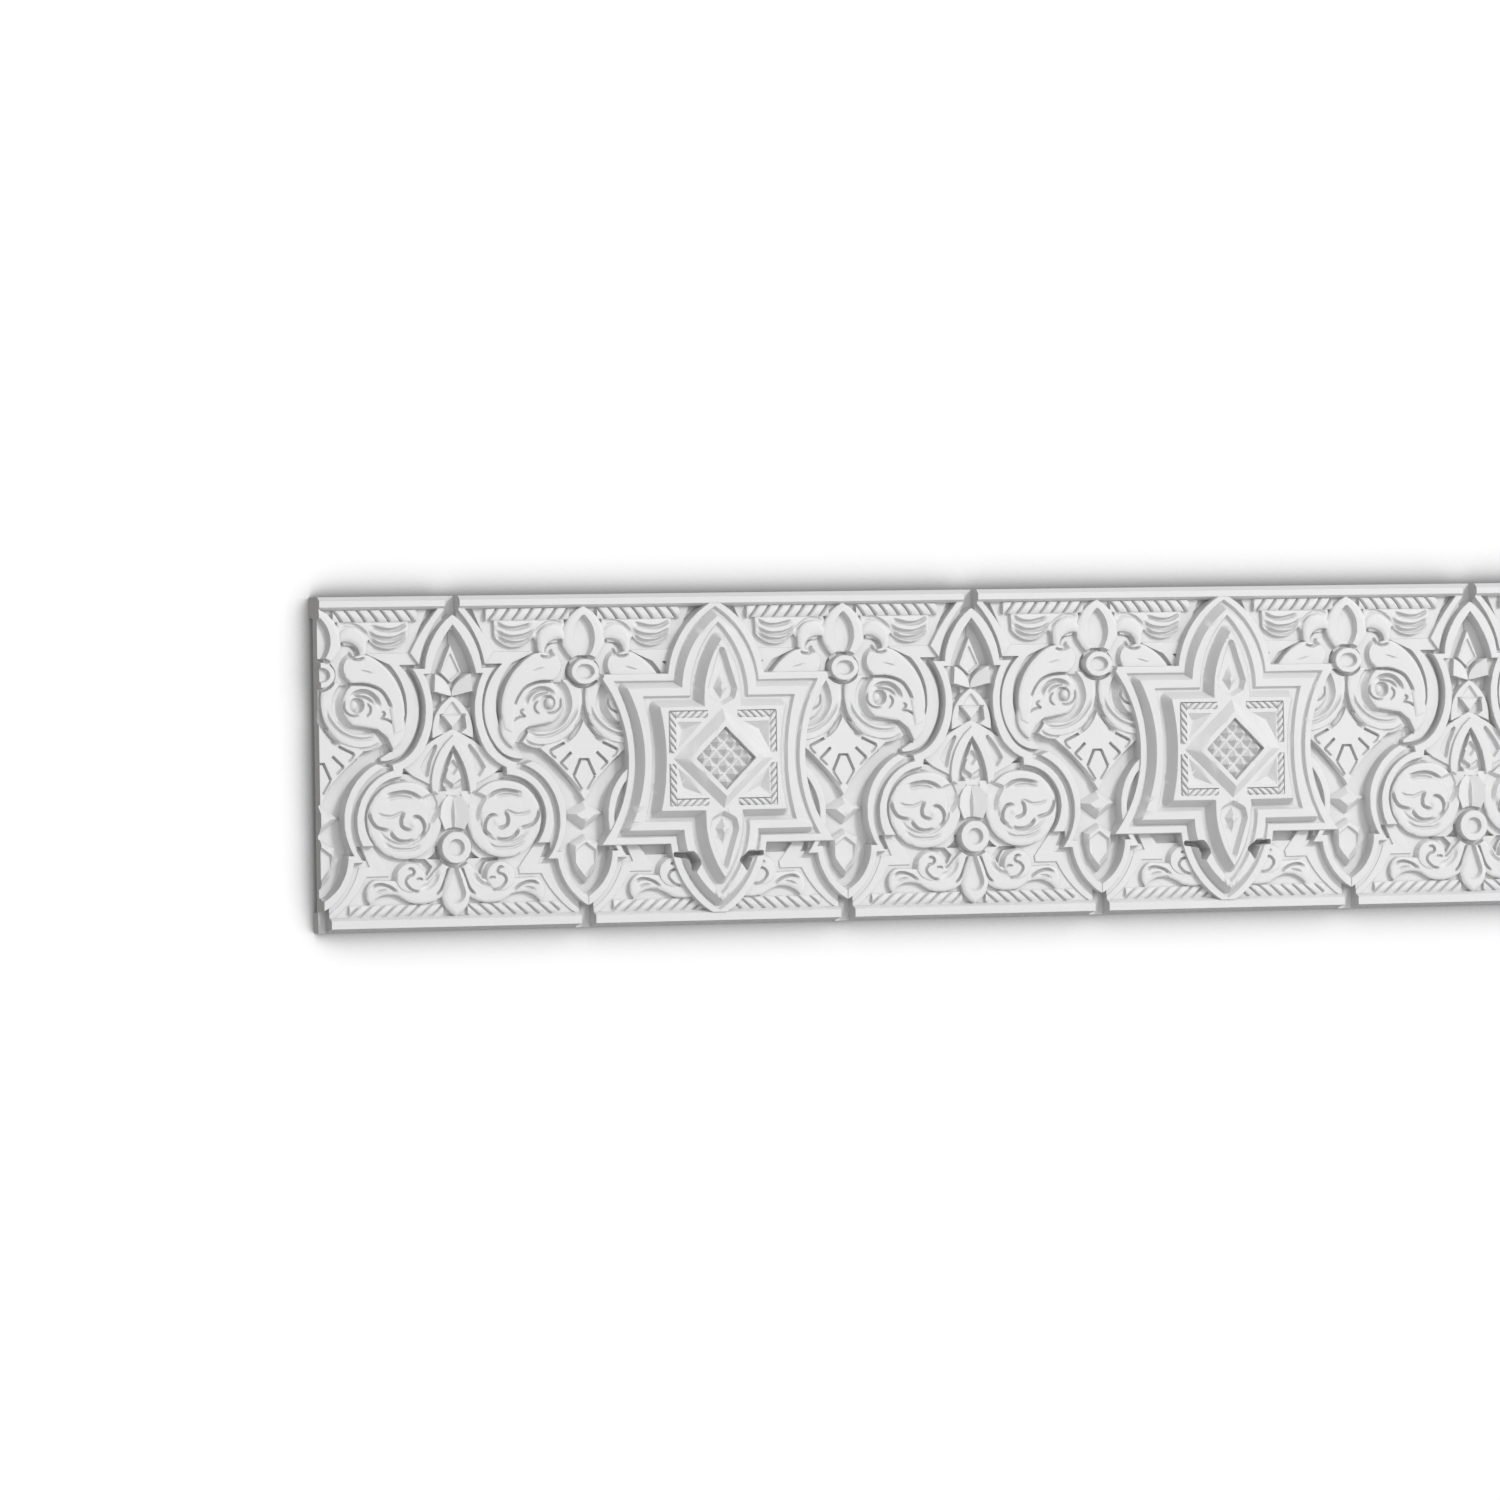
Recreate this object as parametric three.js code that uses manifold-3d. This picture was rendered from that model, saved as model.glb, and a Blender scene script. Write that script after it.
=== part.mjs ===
// A metre of carved frieze moulding: ogee panels of scroll leaves between stepped stars, cast in one piece.
// Millimetres, +Z up. The length runs along X, the relief faces -Y and the flat back is the plane y = 0.
// The origin is at mid-length, in the middle of the lower strip of the back.
import * as THREE from 'three';
import { mergeVertices } from 'three/addons/utils/BufferGeometryUtils.js';
import Module from 'manifold-3d';

const wasm = await Module();
wasm.setup();

// Overall sizes
const LENGTH = 1000;
const REPEATS = 3;
const HEIGHT = 196;
const RAIL_THICKNESS = 17;

// Back: two flat strips with a shallow channel between them
const STRIP_HEIGHT = 12;
const CHANNEL_DEPTH = 5.5;

// Rails: plain faces with a bevelled outer edge and a sloped inner edge
const TOP_RAIL = 6;
const BOTTOM_RAIL = 7;
const RAIL_SLOPE = 1.6;
const RAIL_SLOPE_DEPTH = 2.6;
const BEVEL_HEIGHT = 2.35;
const BEVEL_DEPTH = 3;

// Slots that run out through the rails, and the depth of the ground behind the leaves
const SLOT_WIDTH = 9;
const SLOT_DEPTH = 10;
const SLOT_OVERLAP = 1;
const TOP_SLOT_FROM = 185.3;
const BOTTOM_SLOT_TO = 12.7;
const GROUND_DEPTH = 8;

// How far the star's steps stand out in front of the rails
const STAR_BAND_RISE = 1;
const STAR_STEP_RISE = 5;
const STAR_FIELD_RISE = 10;
const DIAMOND_RISE = 14.5;
const LIP = 0.7;

// Cuts run this far past the surface they open
const CUT_OVERSHOOT = 5;

// Round stretches leave their circle by no more than this
const CHORD_GAP = 1.4;

// The carving is drawn on a quarter of a repeat, from a boss axis to an ogee axis, and between the rails
const DRAWN_QUARTER = 83.3333;
const DRAWN_FROM = 7;
const DRAWN_TO = 190;

// Places worked out from the sizes above
const QUARTER = LENGTH / REPEATS / 4;
const BOTTOM = -STRIP_HEIGHT / 2;
const TOP = BOTTOM + HEIGHT;
const FRONT = RAIL_THICKNESS;
const GROUND = FRONT - GROUND_DEPTH;
const ROOT = (GROUND + CHANNEL_DEPTH) / 2;
const ABOVE = FRONT + DIAMOND_RISE + CUT_OVERSHOOT;
const ACROSS_SCALE = QUARTER / DRAWN_QUARTER;
const UP_SCALE = (HEIGHT - TOP_RAIL - BOTTOM_RAIL) / (DRAWN_TO - DRAWN_FROM);
const AXIS = DRAWN_QUARTER;

// The drawing's point as a place on the board, measured from an axis of the pattern to one side of it
function place(axis, side, [across, up]) {
  const x = axis + side * across * ACROSS_SCALE;
  return new THREE.Vector2(x, BOTTOM + BOTTOM_RAIL + (up - DRAWN_FROM) * UP_SCALE);
}

// Points of the circular arc from one corner through a middle point to the next corner, without the first
function arcThrough([ax, az], [[mx, mz]], [bx, bz], pieces = 0) {
  const twiceArea = 2 * ((mx - ax) * (bz - az) - (bx - ax) * (mz - az));
  const toMiddle = (mx - ax) ** 2 + (mz - az) ** 2;
  const toEnd = (bx - ax) ** 2 + (bz - az) ** 2;
  const cx = ax + ((bz - az) * toMiddle - (mz - az) * toEnd) / twiceArea;
  const cz = az + ((mx - ax) * toEnd - (bx - ax) * toMiddle) / twiceArea;
  const radius = Math.hypot(ax - cx, az - cz);
  const turn = twiceArea > 0 ? 1 : -1;
  const start = Math.atan2(az - cz, ax - cx);
  const sweep = turn * (Math.atan2(bz - cz, bx - cx) - start);
  const angle = ((sweep % (2 * Math.PI)) + 2 * Math.PI) % (2 * Math.PI);
  const count = pieces || Math.max(1, Math.ceil(angle / (2 * Math.acos(1 - CHORD_GAP / radius))));
  const arc = new THREE.EllipseCurve(cx, cz, radius, radius, start, start + turn * angle, turn < 0);
  return arc.getPoints(count).slice(1).map((point) => [point.x, point.y]);
}

// A closed outline from corners, with an arc wherever a middle point, in brackets of its own, stands
// between two of them
function outline(marks) {
  const points = [marks[0]];
  const closed = [...marks, marks[0]];
  for (let i = 1; i < closed.length; i += 1) {
    if (closed[i].length === 2) {
      points.push(closed[i]);
    } else {
      points.push(...arcThrough(closed[i - 1], closed[i], closed[i + 1]));
      i += 1;
    }
  }
  points.pop();
  return points;
}

// An ellipse as an outline
function ellipse([across, up], halfWidth, halfHeight, count) {
  const points = [];
  for (let i = 0; i < count; i += 1) {
    const angle = (2 * Math.PI * (i + 0.5)) / count;
    points.push([across + halfWidth * Math.cos(angle), up + halfHeight * Math.sin(angle)]);
  }
  return points;
}

// A closed mesh as a solid, turned right side out if its outline ran the other way round
function toSolid(geometry) {
  geometry.deleteAttribute('normal');
  geometry.deleteAttribute('uv');
  const merged = mergeVertices(geometry, 1e-5);
  const vertProperties = new Float32Array(merged.attributes.position.array);
  const triVerts = new Uint32Array(merged.index.array);
  const [a, b, c] = [new THREE.Vector3(), new THREE.Vector3(), new THREE.Vector3()];
  let volume = 0;
  for (let i = 0; i < triVerts.length; i += 3) {
    a.fromArray(vertProperties, 3 * triVerts[i]);
    b.fromArray(vertProperties, 3 * triVerts[i + 1]);
    c.fromArray(vertProperties, 3 * triVerts[i + 2]);
    volume += a.dot(b.cross(c));
  }
  if (volume < 0) {
    for (let i = 0; i < triVerts.length; i += 3) {
      [triVerts[i], triVerts[i + 1]] = [triVerts[i + 1], triVerts[i]];
    }
  }
  return new wasm.Manifold(new wasm.Mesh({ numProp: 3, vertProperties, triVerts }));
}

// Rings of equal length, each at its own level in front of the back plane, closed at both ends
function stack(rings) {
  const count = rings[0].points.length;
  const positions = rings.flatMap(({ points, level }) => points.flatMap(({ x, y }) => [x, -level, y]));
  const indices = [];
  for (let ring = 1; ring < rings.length; ring += 1) {
    for (let i = 0; i < count; i += 1) {
      const [low, high] = [(ring - 1) * count, ring * count];
      const next = (i + 1) % count;
      indices.push(low + i, low + next, high + next, low + i, high + next, high + i);
    }
  }
  const lastRing = (rings.length - 1) * count;
  const turned = THREE.ShapeUtils.isClockWise(rings[0].points) ? -1 : 1;
  const floor = THREE.ShapeUtils.triangulateShape(rings[0].points, []);
  const roof = THREE.ShapeUtils.triangulateShape(rings.at(-1).points, []);
  floor.forEach(([p, q, r]) => indices.push(...(turned > 0 ? [r, q, p] : [p, q, r])));
  roof.forEach((face) => {
    const [p, q, r] = face.map((index) => index + lastRing);
    indices.push(...(turned > 0 ? [p, q, r] : [r, q, p]));
  });
  const geometry = new THREE.BufferGeometry();
  geometry.setAttribute('position', new THREE.Float32BufferAttribute(positions, 3));
  geometry.setIndex(indices);
  return toSolid(geometry);
}

// A straight-walled solid over an outline, between two levels
function raise(points, level, from = ROOT) {
  const shape = new THREE.Shape(points);
  const geometry = new THREE.ExtrudeGeometry(shape, { depth: level - from, bevelEnabled: false });
  geometry.rotateX(Math.PI / 2);
  geometry.translate(0, -from, 0);
  return toSolid(geometry);
}

// The board: its section runs the whole length, rails in front and the channel behind
function board() {
  const railSide = FRONT - BEVEL_DEPTH;
  const railFoot = FRONT - RAIL_SLOPE_DEPTH;
  const section = [
    [0, BOTTOM], [railSide, BOTTOM], [FRONT, BOTTOM + BEVEL_HEIGHT],
    [FRONT, BOTTOM + BOTTOM_RAIL], [railFoot, BOTTOM + BOTTOM_RAIL + RAIL_SLOPE],
    [GROUND, BOTTOM + BOTTOM_RAIL + RAIL_SLOPE], [GROUND, TOP - TOP_RAIL - RAIL_SLOPE],
    [railFoot, TOP - TOP_RAIL - RAIL_SLOPE], [FRONT, TOP - TOP_RAIL],
    [FRONT, TOP - BEVEL_HEIGHT], [railSide, TOP], [0, TOP], [0, TOP - STRIP_HEIGHT],
    [CHANNEL_DEPTH, TOP - STRIP_HEIGHT], [CHANNEL_DEPTH, BOTTOM + STRIP_HEIGHT], [0, BOTTOM + STRIP_HEIGHT],
  ];
  const shape = new THREE.Shape(section.map(([level, z]) => new THREE.Vector2(level, z)));
  const geometry = new THREE.ExtrudeGeometry(shape, { depth: LENGTH, bevelEnabled: false });
  const turn = new THREE.Matrix4().set(0, 0, 1, -LENGTH / 2, -1, 0, 0, 0, 0, 1, 0, 0, 0, 0, 0, 1);
  geometry.applyMatrix4(turn);
  return toSolid(geometry);
}

// Levels of the carving below the rail faces
const BAND = FRONT;
const ARCH_BAND = FRONT - 2;
const LOW_BAND = FRONT - 3.8;
const CURL = FRONT - 0.4;
const LEAF = FRONT - 0.8;
const PETAL = FRONT - 1.2;
const INNER_LEAF = FRONT - 1.6;
const LOW_LEAF = FRONT - 2.6;
const SHOULDER = FRONT - 3.2;
const FAN = FRONT - 3.6;
const KITE_TIP = FRONT - 2.8;
const KITE_BED = FRONT - 5;
const FACET_FOOT = 1;

// Carving that every quarter has, beside the boss axis
const NEAR_BOSS = [
  // Band round the foot of the inverted arch and up the lower lobe
  [BAND, [[0, 12.7], [[11.6, 22.8]], [19.3, 40.8], [25.5, 40.8], [[17.4, 66]], [39.6, 96.4], [34, 98.4],
    [[13.3, 66]], [19.3, 44.8], [15.4, 44.8], [[12.2, 31]], [0, 18.6]]],
  // Sunk ring round the upper lobe
  [LOW_BAND, [[31, 162.8], [57, 162.8], [62.7, 155.8], [51, 155.8], [[62.8, 130.5]], [52, 103.8],
    [[46, 100.8]], [38.4, 99.7], [31, 104]]],
  // Upper scroll leaf
  [LEAF, [[31, 161.5], [[49.3, 145]], [53.6, 127], [44.8, 131], [[37.5, 142.3]], [20.5, 145.2],
    [13.4, 150.5], [16, 161], [24, 162]]],
  // Middle scroll leaf with its tip turned down
  [INNER_LEAF, [[6.5, 147], [[8.3, 128.5]], [18, 119], [34.5, 117.8], [41.5, 113.5], [45, 106.3],
    [[53, 114.5]], [53.6, 127], [40, 144], [16, 149]]],
  // Lower scroll leaf
  [LOW_LEAF, [[1, 146], [[3, 123.5]], [15, 110], [[28, 105.8]], [42, 111.8], [36.5, 117.4], [20, 124],
    [9, 146]]],
  // Fleur that meets the top rail
  [LEAF, [[0, 189], [[9, 182.5]], [13.6, 171.5], [5.5, 157.5], [0, 157]]],
  // Curled leaf beside the fleur
  [CURL, [[5, 155], [16.5, 168.8], [13.4, 173], [[23, 177.4]], [30, 166.5], [26, 160.8], [11, 153]]],
  // Wavy leaf under the rope border
  [LOW_LEAF, [[14, 181.2], [55, 181.2], [55, 171.2], [[44, 165.4]], [31, 172.6], [20, 172]]],
  // Fan between the lower scroll leaves
  [FAN, [[0, 122], [10, 116], [28, 105.8], [[13.5, 93]], [0, 74.8]]],
];

// Carving that only the ogee panels have, drawn from the same boss axis
const IN_OGEE = [
  // Sunk outer band of the pointed arch
  [ARCH_BAND, [[57, 162.8], [[63.9, 174.5]], [76, 190], [79, 190], [79, 187.6], [[66, 167.5]],
    [62.7, 155.8]]],
  // Inner band: pointed arch, upper lobe, notch and lower lobe
  [BAND, [[AXIS, 185.3], [[70.8, 171.5]], [65.3, 153.5], [57.5, 153.5], [[65.5, 130.5]], [56.8, 105],
    [[50.8, 100.3]], [43.8, 97.8], [44.7, 94.3], [[21.4, 66]], [24.8, 50.3], [32, 50.3], [[26.2, 66]],
    [50.5, 90.6], [50.8, 95.2], [[57.8, 99.2]], [63.5, 105], [[70.2, 130.5]], [64.9, 150.4], [69, 150.4],
    [[73.5, 164]], [AXIS, 179]]],
  // Kite in the pointed arch
  [KITE_BED, [[AXIS, 163.5], [77.8, 151.4], [AXIS, 146]]],
  // Tulip petal under the kite
  [PETAL, [[72, 150.3], [[79.6, 146]], [AXIS, 138.8], [AXIS, 137], [71.2, 140]]],
  // Small pointed arch
  [LOW_LEAF, [[AXIS, 137.2], [[74.5, 129.5]], [70.5, 112.5], [AXIS, 117.8]]],
  // Shoulder leaf beside the double arch
  [SHOULDER, [[AXIS, 118], [52, 95.8], [58.5, 90.5], [72, 84], [AXIS, 112]]],
  // Outer member of the double arch
  [INNER_LEAF, [[AXIS, 114.3], [[72.5, 101]], [69.5, 81], [73.5, 80], [[76, 96.5]], [AXIS, 109.3]]],
  // Inner member of the double arch
  [LOW_LEAF, [[AXIS, 104.3], [[80, 95]], [79.2, 79], [AXIS, 79]]],
  // Bud over the lower boss
  [INNER_LEAF, [[AXIS, 81], [[75.4, 74.5]], [73.6, 66.5], [77.5, 58], [AXIS, 55]]],
  // Teardrop pendant under the lower boss
  [LEAF, [[AXIS, 42], [80, 37], [[76.3, 28.5]], [74.3, 20.5], [[76.5, 14]], [AXIS, 8.3]]],
];

// Carving at the foot of every quarter, beside the band
const AT_FOOT = [
  // Sunk inner band from the lower lobe down to the slot
  [LOW_BAND, [[24.8, 50.3], [30.2, 38.2], [23.4, 38.2], [[16.5, 23]], [4.5, 11.3], [4.5, 7], [[18, 17.8]],
    [28.3, 32.3], [42, 32.3], [42.8, 36], [32, 50.3]]],
  // Wavy leaf over the lower rope border
  [INNER_LEAF, [[29.8, 16.3], [[27, 23.5]], [33, 30.6], [50, 29.5], [66, 30], [76.5, 41], [80, 38],
    [75, 20.3], [[62, 15.8]], [50, 19.2], [[41, 21.8]]]],
];

// Palmette of the lower lobe: a disc whose grooves turn about a round eye
const PALMETTE = { centre: [51.8, 65], halfWidth: 22.8, halfHeight: 22.5, sides: 12 };
const PALMETTE_GROOVES = [
  [[37.5, 70.5], [[51, 82]], [66.5, 76.8], [[51, 78.2]]],
  [[43, 57.5], [[54, 50.5]], [65, 60], [[54.5, 54.6]]],
];
const PALMETTE_EYE = { centre: [57, 63.6], halfWidth: 4.5, halfHeight: 4.5, sides: 6 };
const SCROLL_DISC = { centre: [59.4, 32.2], halfWidth: 9, halfHeight: 9, sides: 8 };
const GROOVE_DEPTH = 3;

// Round bosses on the axes, with a dish in the middle
const UPPER_BOSS = { centre: [0, 150.5], halfWidth: 8.8, halfHeight: 7.4, dish: 0.62, sides: 10 };
const LOWER_BOSS = { centre: [0, 48.6], halfWidth: 9.3, halfHeight: 9.3, dish: 0.56, sides: 10 };
const BOSS_RISE = 0.8;
const DISH_DEPTH = 2.4;
const DISH_FLOOR = 0.6;

// Faceted diamond and kite on the boss axis
const DIAMOND_FOOT = [[0, 74], [13, 67], [0, 57.5], [-13, 67]];
const DIAMOND_TOP = [[0, 71.3], [7.8, 66.6], [0, 61.6], [-7.8, 66.6]];
const KITE_FOOT = [[0, 50], [7.4, 45.8], [7, 38], [0, 26.5], [-7, 38], [-7.4, 45.8]];
const KITE_TOP = [[0, 47.3], [4.8, 44.4], [4.6, 38], [0, 31.5], [-4.6, 38], [-4.8, 44.4]];
const FLEUR_DROP = [[0, 182.5], [[4.9, 173]], [0, 158.5], [[-4.9, 173]]];
const PENDANT_DROP = [[0, 36.5], [4.2, 24], [[4.4, 19.2]], [0, 17.5], [[-4.4, 19.2]], [-4.2, 24]];

// Star outlines, each from the star's centre: half width at mid-height, the outer corner, where the pointed
// lobe springs, the height at which its arc stands upright, and the lobe's point
const STAR_CENTRE = 98.2;
const STAR_RINGS = {
  bandOuter: { waist: 56.8, corner: [74.8, 50.2], lobe: 30.8, upright: 45, point: 93.5 },
  bandInner: { waist: 53, corner: [65.8, 46.3], lobe: 27.3, upright: 42, point: 90 },
  stepOuter: { waist: 47.9, corner: [58.4, 41.8], lobe: 23.6, upright: 40, point: 83.9 },
  stepInner: { waist: 43.5, corner: [48.9, 37.2], lobe: 18.7, upright: 37, point: 80.8 },
  field: { waist: 36.3, corner: [39.9, 30.5], lobe: 11.5, upright: 35, point: 70.3 },
};
const SIDE_PIECES = 4;
const LOBE_PIECES = 3;
const LOBE_BULGE_AT = 0.55;
const COVE_AT = 0.5;
const COVE_LEVEL = 0.2;

// Diamond of small pyramids on the star, and the sunk shapes of its field
const DIAMOND = { foot: [31.3, 29.2], rim: [23.5, 22.8], bed: [19, 18.8], depth: 1.6 };
const PYRAMIDS = 4;
const PYRAMID_GAP = 0.12;
const TRIANGLE = { from: [14, 22.3], to: [29.6, 5.5], depth: 2.4, inset: 0.35 };
const LOBE_DROP = [[0, 63], [7, 41], [[6.4, 37.5]], [0, 34.3], [[-6.4, 37.5]], [-7, 41]];
const LOBE_BUD = [[0, 51], [4.8, 41.5], [0, 34.6], [-4.8, 41.5]];
const LOBE_DEPTH = 2.6;

// A star outline: right side, upper lobe, left side and lower lobe
function starOutline({ waist, corner, lobe, upright, point }) {
  const foot = [corner[0], -corner[1]];
  const side = [foot, ...arcThrough(foot, [[waist, 0]], corner, SIDE_PIECES)];
  const rise = point - upright;
  const radius = (rise ** 2 + lobe ** 2) / (2 * lobe);
  const middle = upright + rise * LOBE_BULGE_AT;
  const bulge = [[lobe - radius + Math.sqrt(radius ** 2 - (middle - upright) ** 2), middle]];
  const spring = [lobe, corner[1]];
  const rising = [spring, ...arcThrough(spring, bulge, [0, point], LOBE_PIECES)];
  const falling = rising.slice(0, -1).reverse().map(([across, up]) => [-across, up]);
  const half = [...side, ...rising, ...falling];
  return [...half, ...half.map(([across, up]) => [-across, -up])];
}

// Outline points between two outlines of the same length
function between(first, second, share) {
  return first.map((point, i) => point.clone().lerp(second[i], share));
}

// Everything on one star, drawn from its centre
function star(axis) {
  const at = (points) => points.map(([across, up]) => place(axis, 1, [across, STAR_CENTRE + up]));
  const rings = Object.entries(STAR_RINGS).map(([name, sizes]) => [name, at(starOutline(sizes))]);
  const ring = Object.fromEntries(rings);
  const [band, step, field] = [STAR_BAND_RISE, STAR_STEP_RISE, STAR_FIELD_RISE].map((rise) => FRONT + rise);
  const lowerCove = { points: between(ring.bandInner, ring.stepOuter, COVE_AT) };
  lowerCove.level = band - LIP + COVE_LEVEL * (step - band + LIP);
  const upperCove = { points: between(ring.stepInner, ring.field, COVE_AT) };
  upperCove.level = step - LIP + COVE_LEVEL * (field - step + LIP);
  let solid = stack([
    { points: ring.bandOuter, level: ROOT },
    { points: ring.bandOuter, level: band },
    { points: ring.bandInner, level: band },
    { points: ring.bandInner, level: band - LIP },
    lowerCove,
    { points: ring.stepOuter, level: step },
    { points: ring.stepInner, level: step },
    { points: ring.stepInner, level: step - LIP },
    upperCove,
    { points: ring.field, level: field },
  ]);
  for (const mirrorX of [1, -1]) {
    for (const mirrorZ of [1, -1]) {
      const corner = (points) => at(points.map(([across, up]) => [mirrorX * across, mirrorZ * up]));
      solid = solid.subtract(cornerPit(corner, field));
    }
  }
  for (const mirrorZ of [1, -1]) {
    const lobe = (points) => at(points.map(([across, up]) => [across, mirrorZ * up]));
    solid = solid.subtract(raise(lobe(outline(LOBE_DROP)), ABOVE, field - LOBE_DEPTH));
    solid = solid.add(peak(lobe(LOBE_BUD), field - LOBE_DEPTH - LIP, field));
  }
  return solid.add(diamond(at, field));
}

// The sunk triangle in a corner of the field, with sloped walls
function cornerPit(corner, field) {
  const { from, to, depth, inset } = TRIANGLE;
  const rim = [from, [to[0], from[1]], to];
  const middle = [(from[0] + 2 * to[0]) / 3, (2 * from[1] + to[1]) / 3];
  const floor = rim.map(([across, up]) => [
    across + (middle[0] - across) * (1 - inset), up + (middle[1] - up) * (1 - inset)]);
  return stack([
    { points: corner(floor), level: field - depth },
    { points: corner(rim), level: field },
    { points: corner(rim), level: ABOVE },
  ]);
}

// A low pyramid over an outline, from its foot to a tip above its middle
function peak(points, foot, tip) {
  const middle = points.reduce((sum, point) => sum.add(point), new THREE.Vector2());
  middle.divideScalar(points.length);
  const corners = [...points, middle];
  const positions = corners.flatMap(({ x, y }, i) => [x, -(i < points.length ? foot : tip), y]);
  const indices = points.flatMap((_, i) => [i, (i + 1) % points.length, points.length]);
  const turned = THREE.ShapeUtils.isClockWise(points) ? -1 : 1;
  THREE.ShapeUtils.triangulateShape(points, [])
    .forEach(([p, q, r]) => indices.push(...(turned > 0 ? [r, q, p] : [p, q, r])));
  const geometry = new THREE.BufferGeometry();
  geometry.setAttribute('position', new THREE.Float32BufferAttribute(positions, 3));
  geometry.setIndex(indices);
  return toSolid(geometry);
}

// The diamond frame with its bed of small pyramids
function diamond(at, field) {
  const square = ([halfWidth, halfHeight]) => [
    [halfWidth, 0], [0, halfHeight], [-halfWidth, 0], [0, -halfHeight]];
  const rim = FRONT + DIAMOND_RISE;
  const bed = rim - DIAMOND.depth;
  let solid = stack([
    { points: at(square(DIAMOND.foot)), level: field - LIP },
    { points: at(square(DIAMOND.rim)), level: rim },
    { points: at(square(DIAMOND.bed)), level: rim },
    { points: at(square(DIAMOND.bed)), level: bed },
  ]);
  const half = DIAMOND.bed.map((size) => (size * (1 - PYRAMID_GAP)) / PYRAMIDS);
  for (let row = 0; row < PYRAMIDS; row += 1) {
    for (let column = 0; column < PYRAMIDS; column += 1) {
      const across = ((row - column) * DIAMOND.bed[0]) / PYRAMIDS;
      const up = ((row + column + 1 - PYRAMIDS) * DIAMOND.bed[1]) / PYRAMIDS;
      const foot = square(half).map(([x, z]) => [across + x, up + z]);
      solid = solid.add(peak(at(foot), bed - LIP, rim + LIP));
    }
  }
  return solid;
}

// A round boss with a sunk dish
function boss(axis, { centre, halfWidth, halfHeight, dish, sides }) {
  const at = (share) => ellipse(centre, halfWidth * share, halfHeight * share, sides)
    .map((point) => place(axis, 1, point));
  const level = FRONT + BOSS_RISE;
  return stack([
    { points: at(1), level: ROOT },
    { points: at(1), level },
    { points: at(dish), level },
    { points: at(dish * DISH_FLOOR), level: level - DISH_DEPTH },
  ]);
}

// The palmette of an ogee panel's lower lobe and the small volute below it
function palmette(at) {
  const disc = ({ centre, halfWidth, halfHeight, sides }) =>
    at(ellipse(centre, halfWidth, halfHeight, sides));
  let solid = raise(disc(PALMETTE), INNER_LEAF);
  for (const groove of PALMETTE_GROOVES) {
    solid = solid.subtract(raise(at(outline(groove)), ABOVE, INNER_LEAF - GROOVE_DEPTH));
  }
  return solid.add(raise(disc(PALMETTE_EYE), LEAF)).add(raise(disc(SCROLL_DISC), LEAF));
}

// What stands on a boss axis: the boss, the drop in the fleur, the faceted diamond and the kite
function bossAxis(solid, axis) {
  const at = (points) => points.map((point) => place(axis, 1, point));
  let carved = solid.subtract(raise(at(outline(FLEUR_DROP)), ABOVE, LEAF - GROOVE_DEPTH));
  carved = carved.add(boss(axis, UPPER_BOSS));
  carved = carved.add(stack([
    { points: at(DIAMOND_FOOT), level: ROOT },
    { points: at(DIAMOND_FOOT), level: GROUND + FACET_FOOT },
    { points: at(DIAMOND_TOP), level: INNER_LEAF },
  ]));
  carved = carved.add(stack([
    { points: at(KITE_FOOT), level: ROOT },
    { points: at(KITE_FOOT), level: KITE_BED + FACET_FOOT },
    { points: at(KITE_TOP), level: KITE_TIP },
  ]));
  return carved.subtract(slot(axis, BOTTOM, place(axis, 1, [0, BOTTOM_SLOT_TO]).y));
}

// What stands on an ogee axis: the lower boss, the drop in the pendant and the slot through the top rail
function ogeeAxis(solid, axis) {
  const at = (points) => points.map((point) => place(axis, 1, point));
  const carved = solid.subtract(raise(at(outline(PENDANT_DROP)), ABOVE, LEAF - GROOVE_DEPTH))
    .add(boss(axis, LOWER_BOSS));
  return carved.subtract(slot(axis, place(axis, 1, [0, TOP_SLOT_FROM]).y, TOP));
}

// A slot across a rail, centred on an axis
function slot(axis, from, to) {
  const [left, right] = [axis - SLOT_WIDTH / 2, axis + SLOT_WIDTH / 2];
  const [low, high] = [from - SLOT_OVERLAP, to + SLOT_OVERLAP];
  const corners = [[left, low], [right, low], [right, high], [left, high]];
  return raise(corners.map(([x, z]) => new THREE.Vector2(x, z)), ABOVE, FRONT - SLOT_DEPTH);
}

// One quarter of a repeat, to the left or right of a boss axis
function quarter(axis, side, hasStar) {
  const at = (points) => points.map((point) => place(axis, side, point));
  const carvings = [...NEAR_BOSS, ...AT_FOOT, ...(hasStar ? [] : IN_OGEE)];
  let solid = carvings.map(([level, marks]) => raise(at(outline(marks)), level)).reduce((a, b) => a.add(b));
  if (!hasStar) solid = solid.add(palmette(at));
  return solid;
}

// The length starts and ends on a boss axis, so that lengths join in pattern
function moulding() {
  let solid = board();
  const bossAxes = [];
  const panelAxes = [];
  for (let i = 0; i <= 4 * REPEATS; i += 1) {
    (i % 2 === 0 ? bossAxes : panelAxes).push(-LENGTH / 2 + i * QUARTER);
  }
  panelAxes.forEach((panel, i) => {
    const hasStar = i % 2 === 1;
    solid = solid.add(quarter(panel - QUARTER, 1, hasStar)).add(quarter(panel + QUARTER, -1, hasStar));
    solid = hasStar ? solid.add(star(panel)) : ogeeAxis(solid, panel);
  });
  bossAxes.forEach((axis) => {
    solid = bossAxis(solid, axis);
  });
  const [low, high] = [BOTTOM - CUT_OVERSHOOT, TOP + CUT_OVERSHOOT];
  const ends = [[-1, low], [1, low], [1, high], [-1, high]]
    .map(([side, z]) => new THREE.Vector2((side * LENGTH) / 2, z));
  return solid.intersect(raise(ends, ABOVE, -CUT_OVERSHOOT));
}

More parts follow.
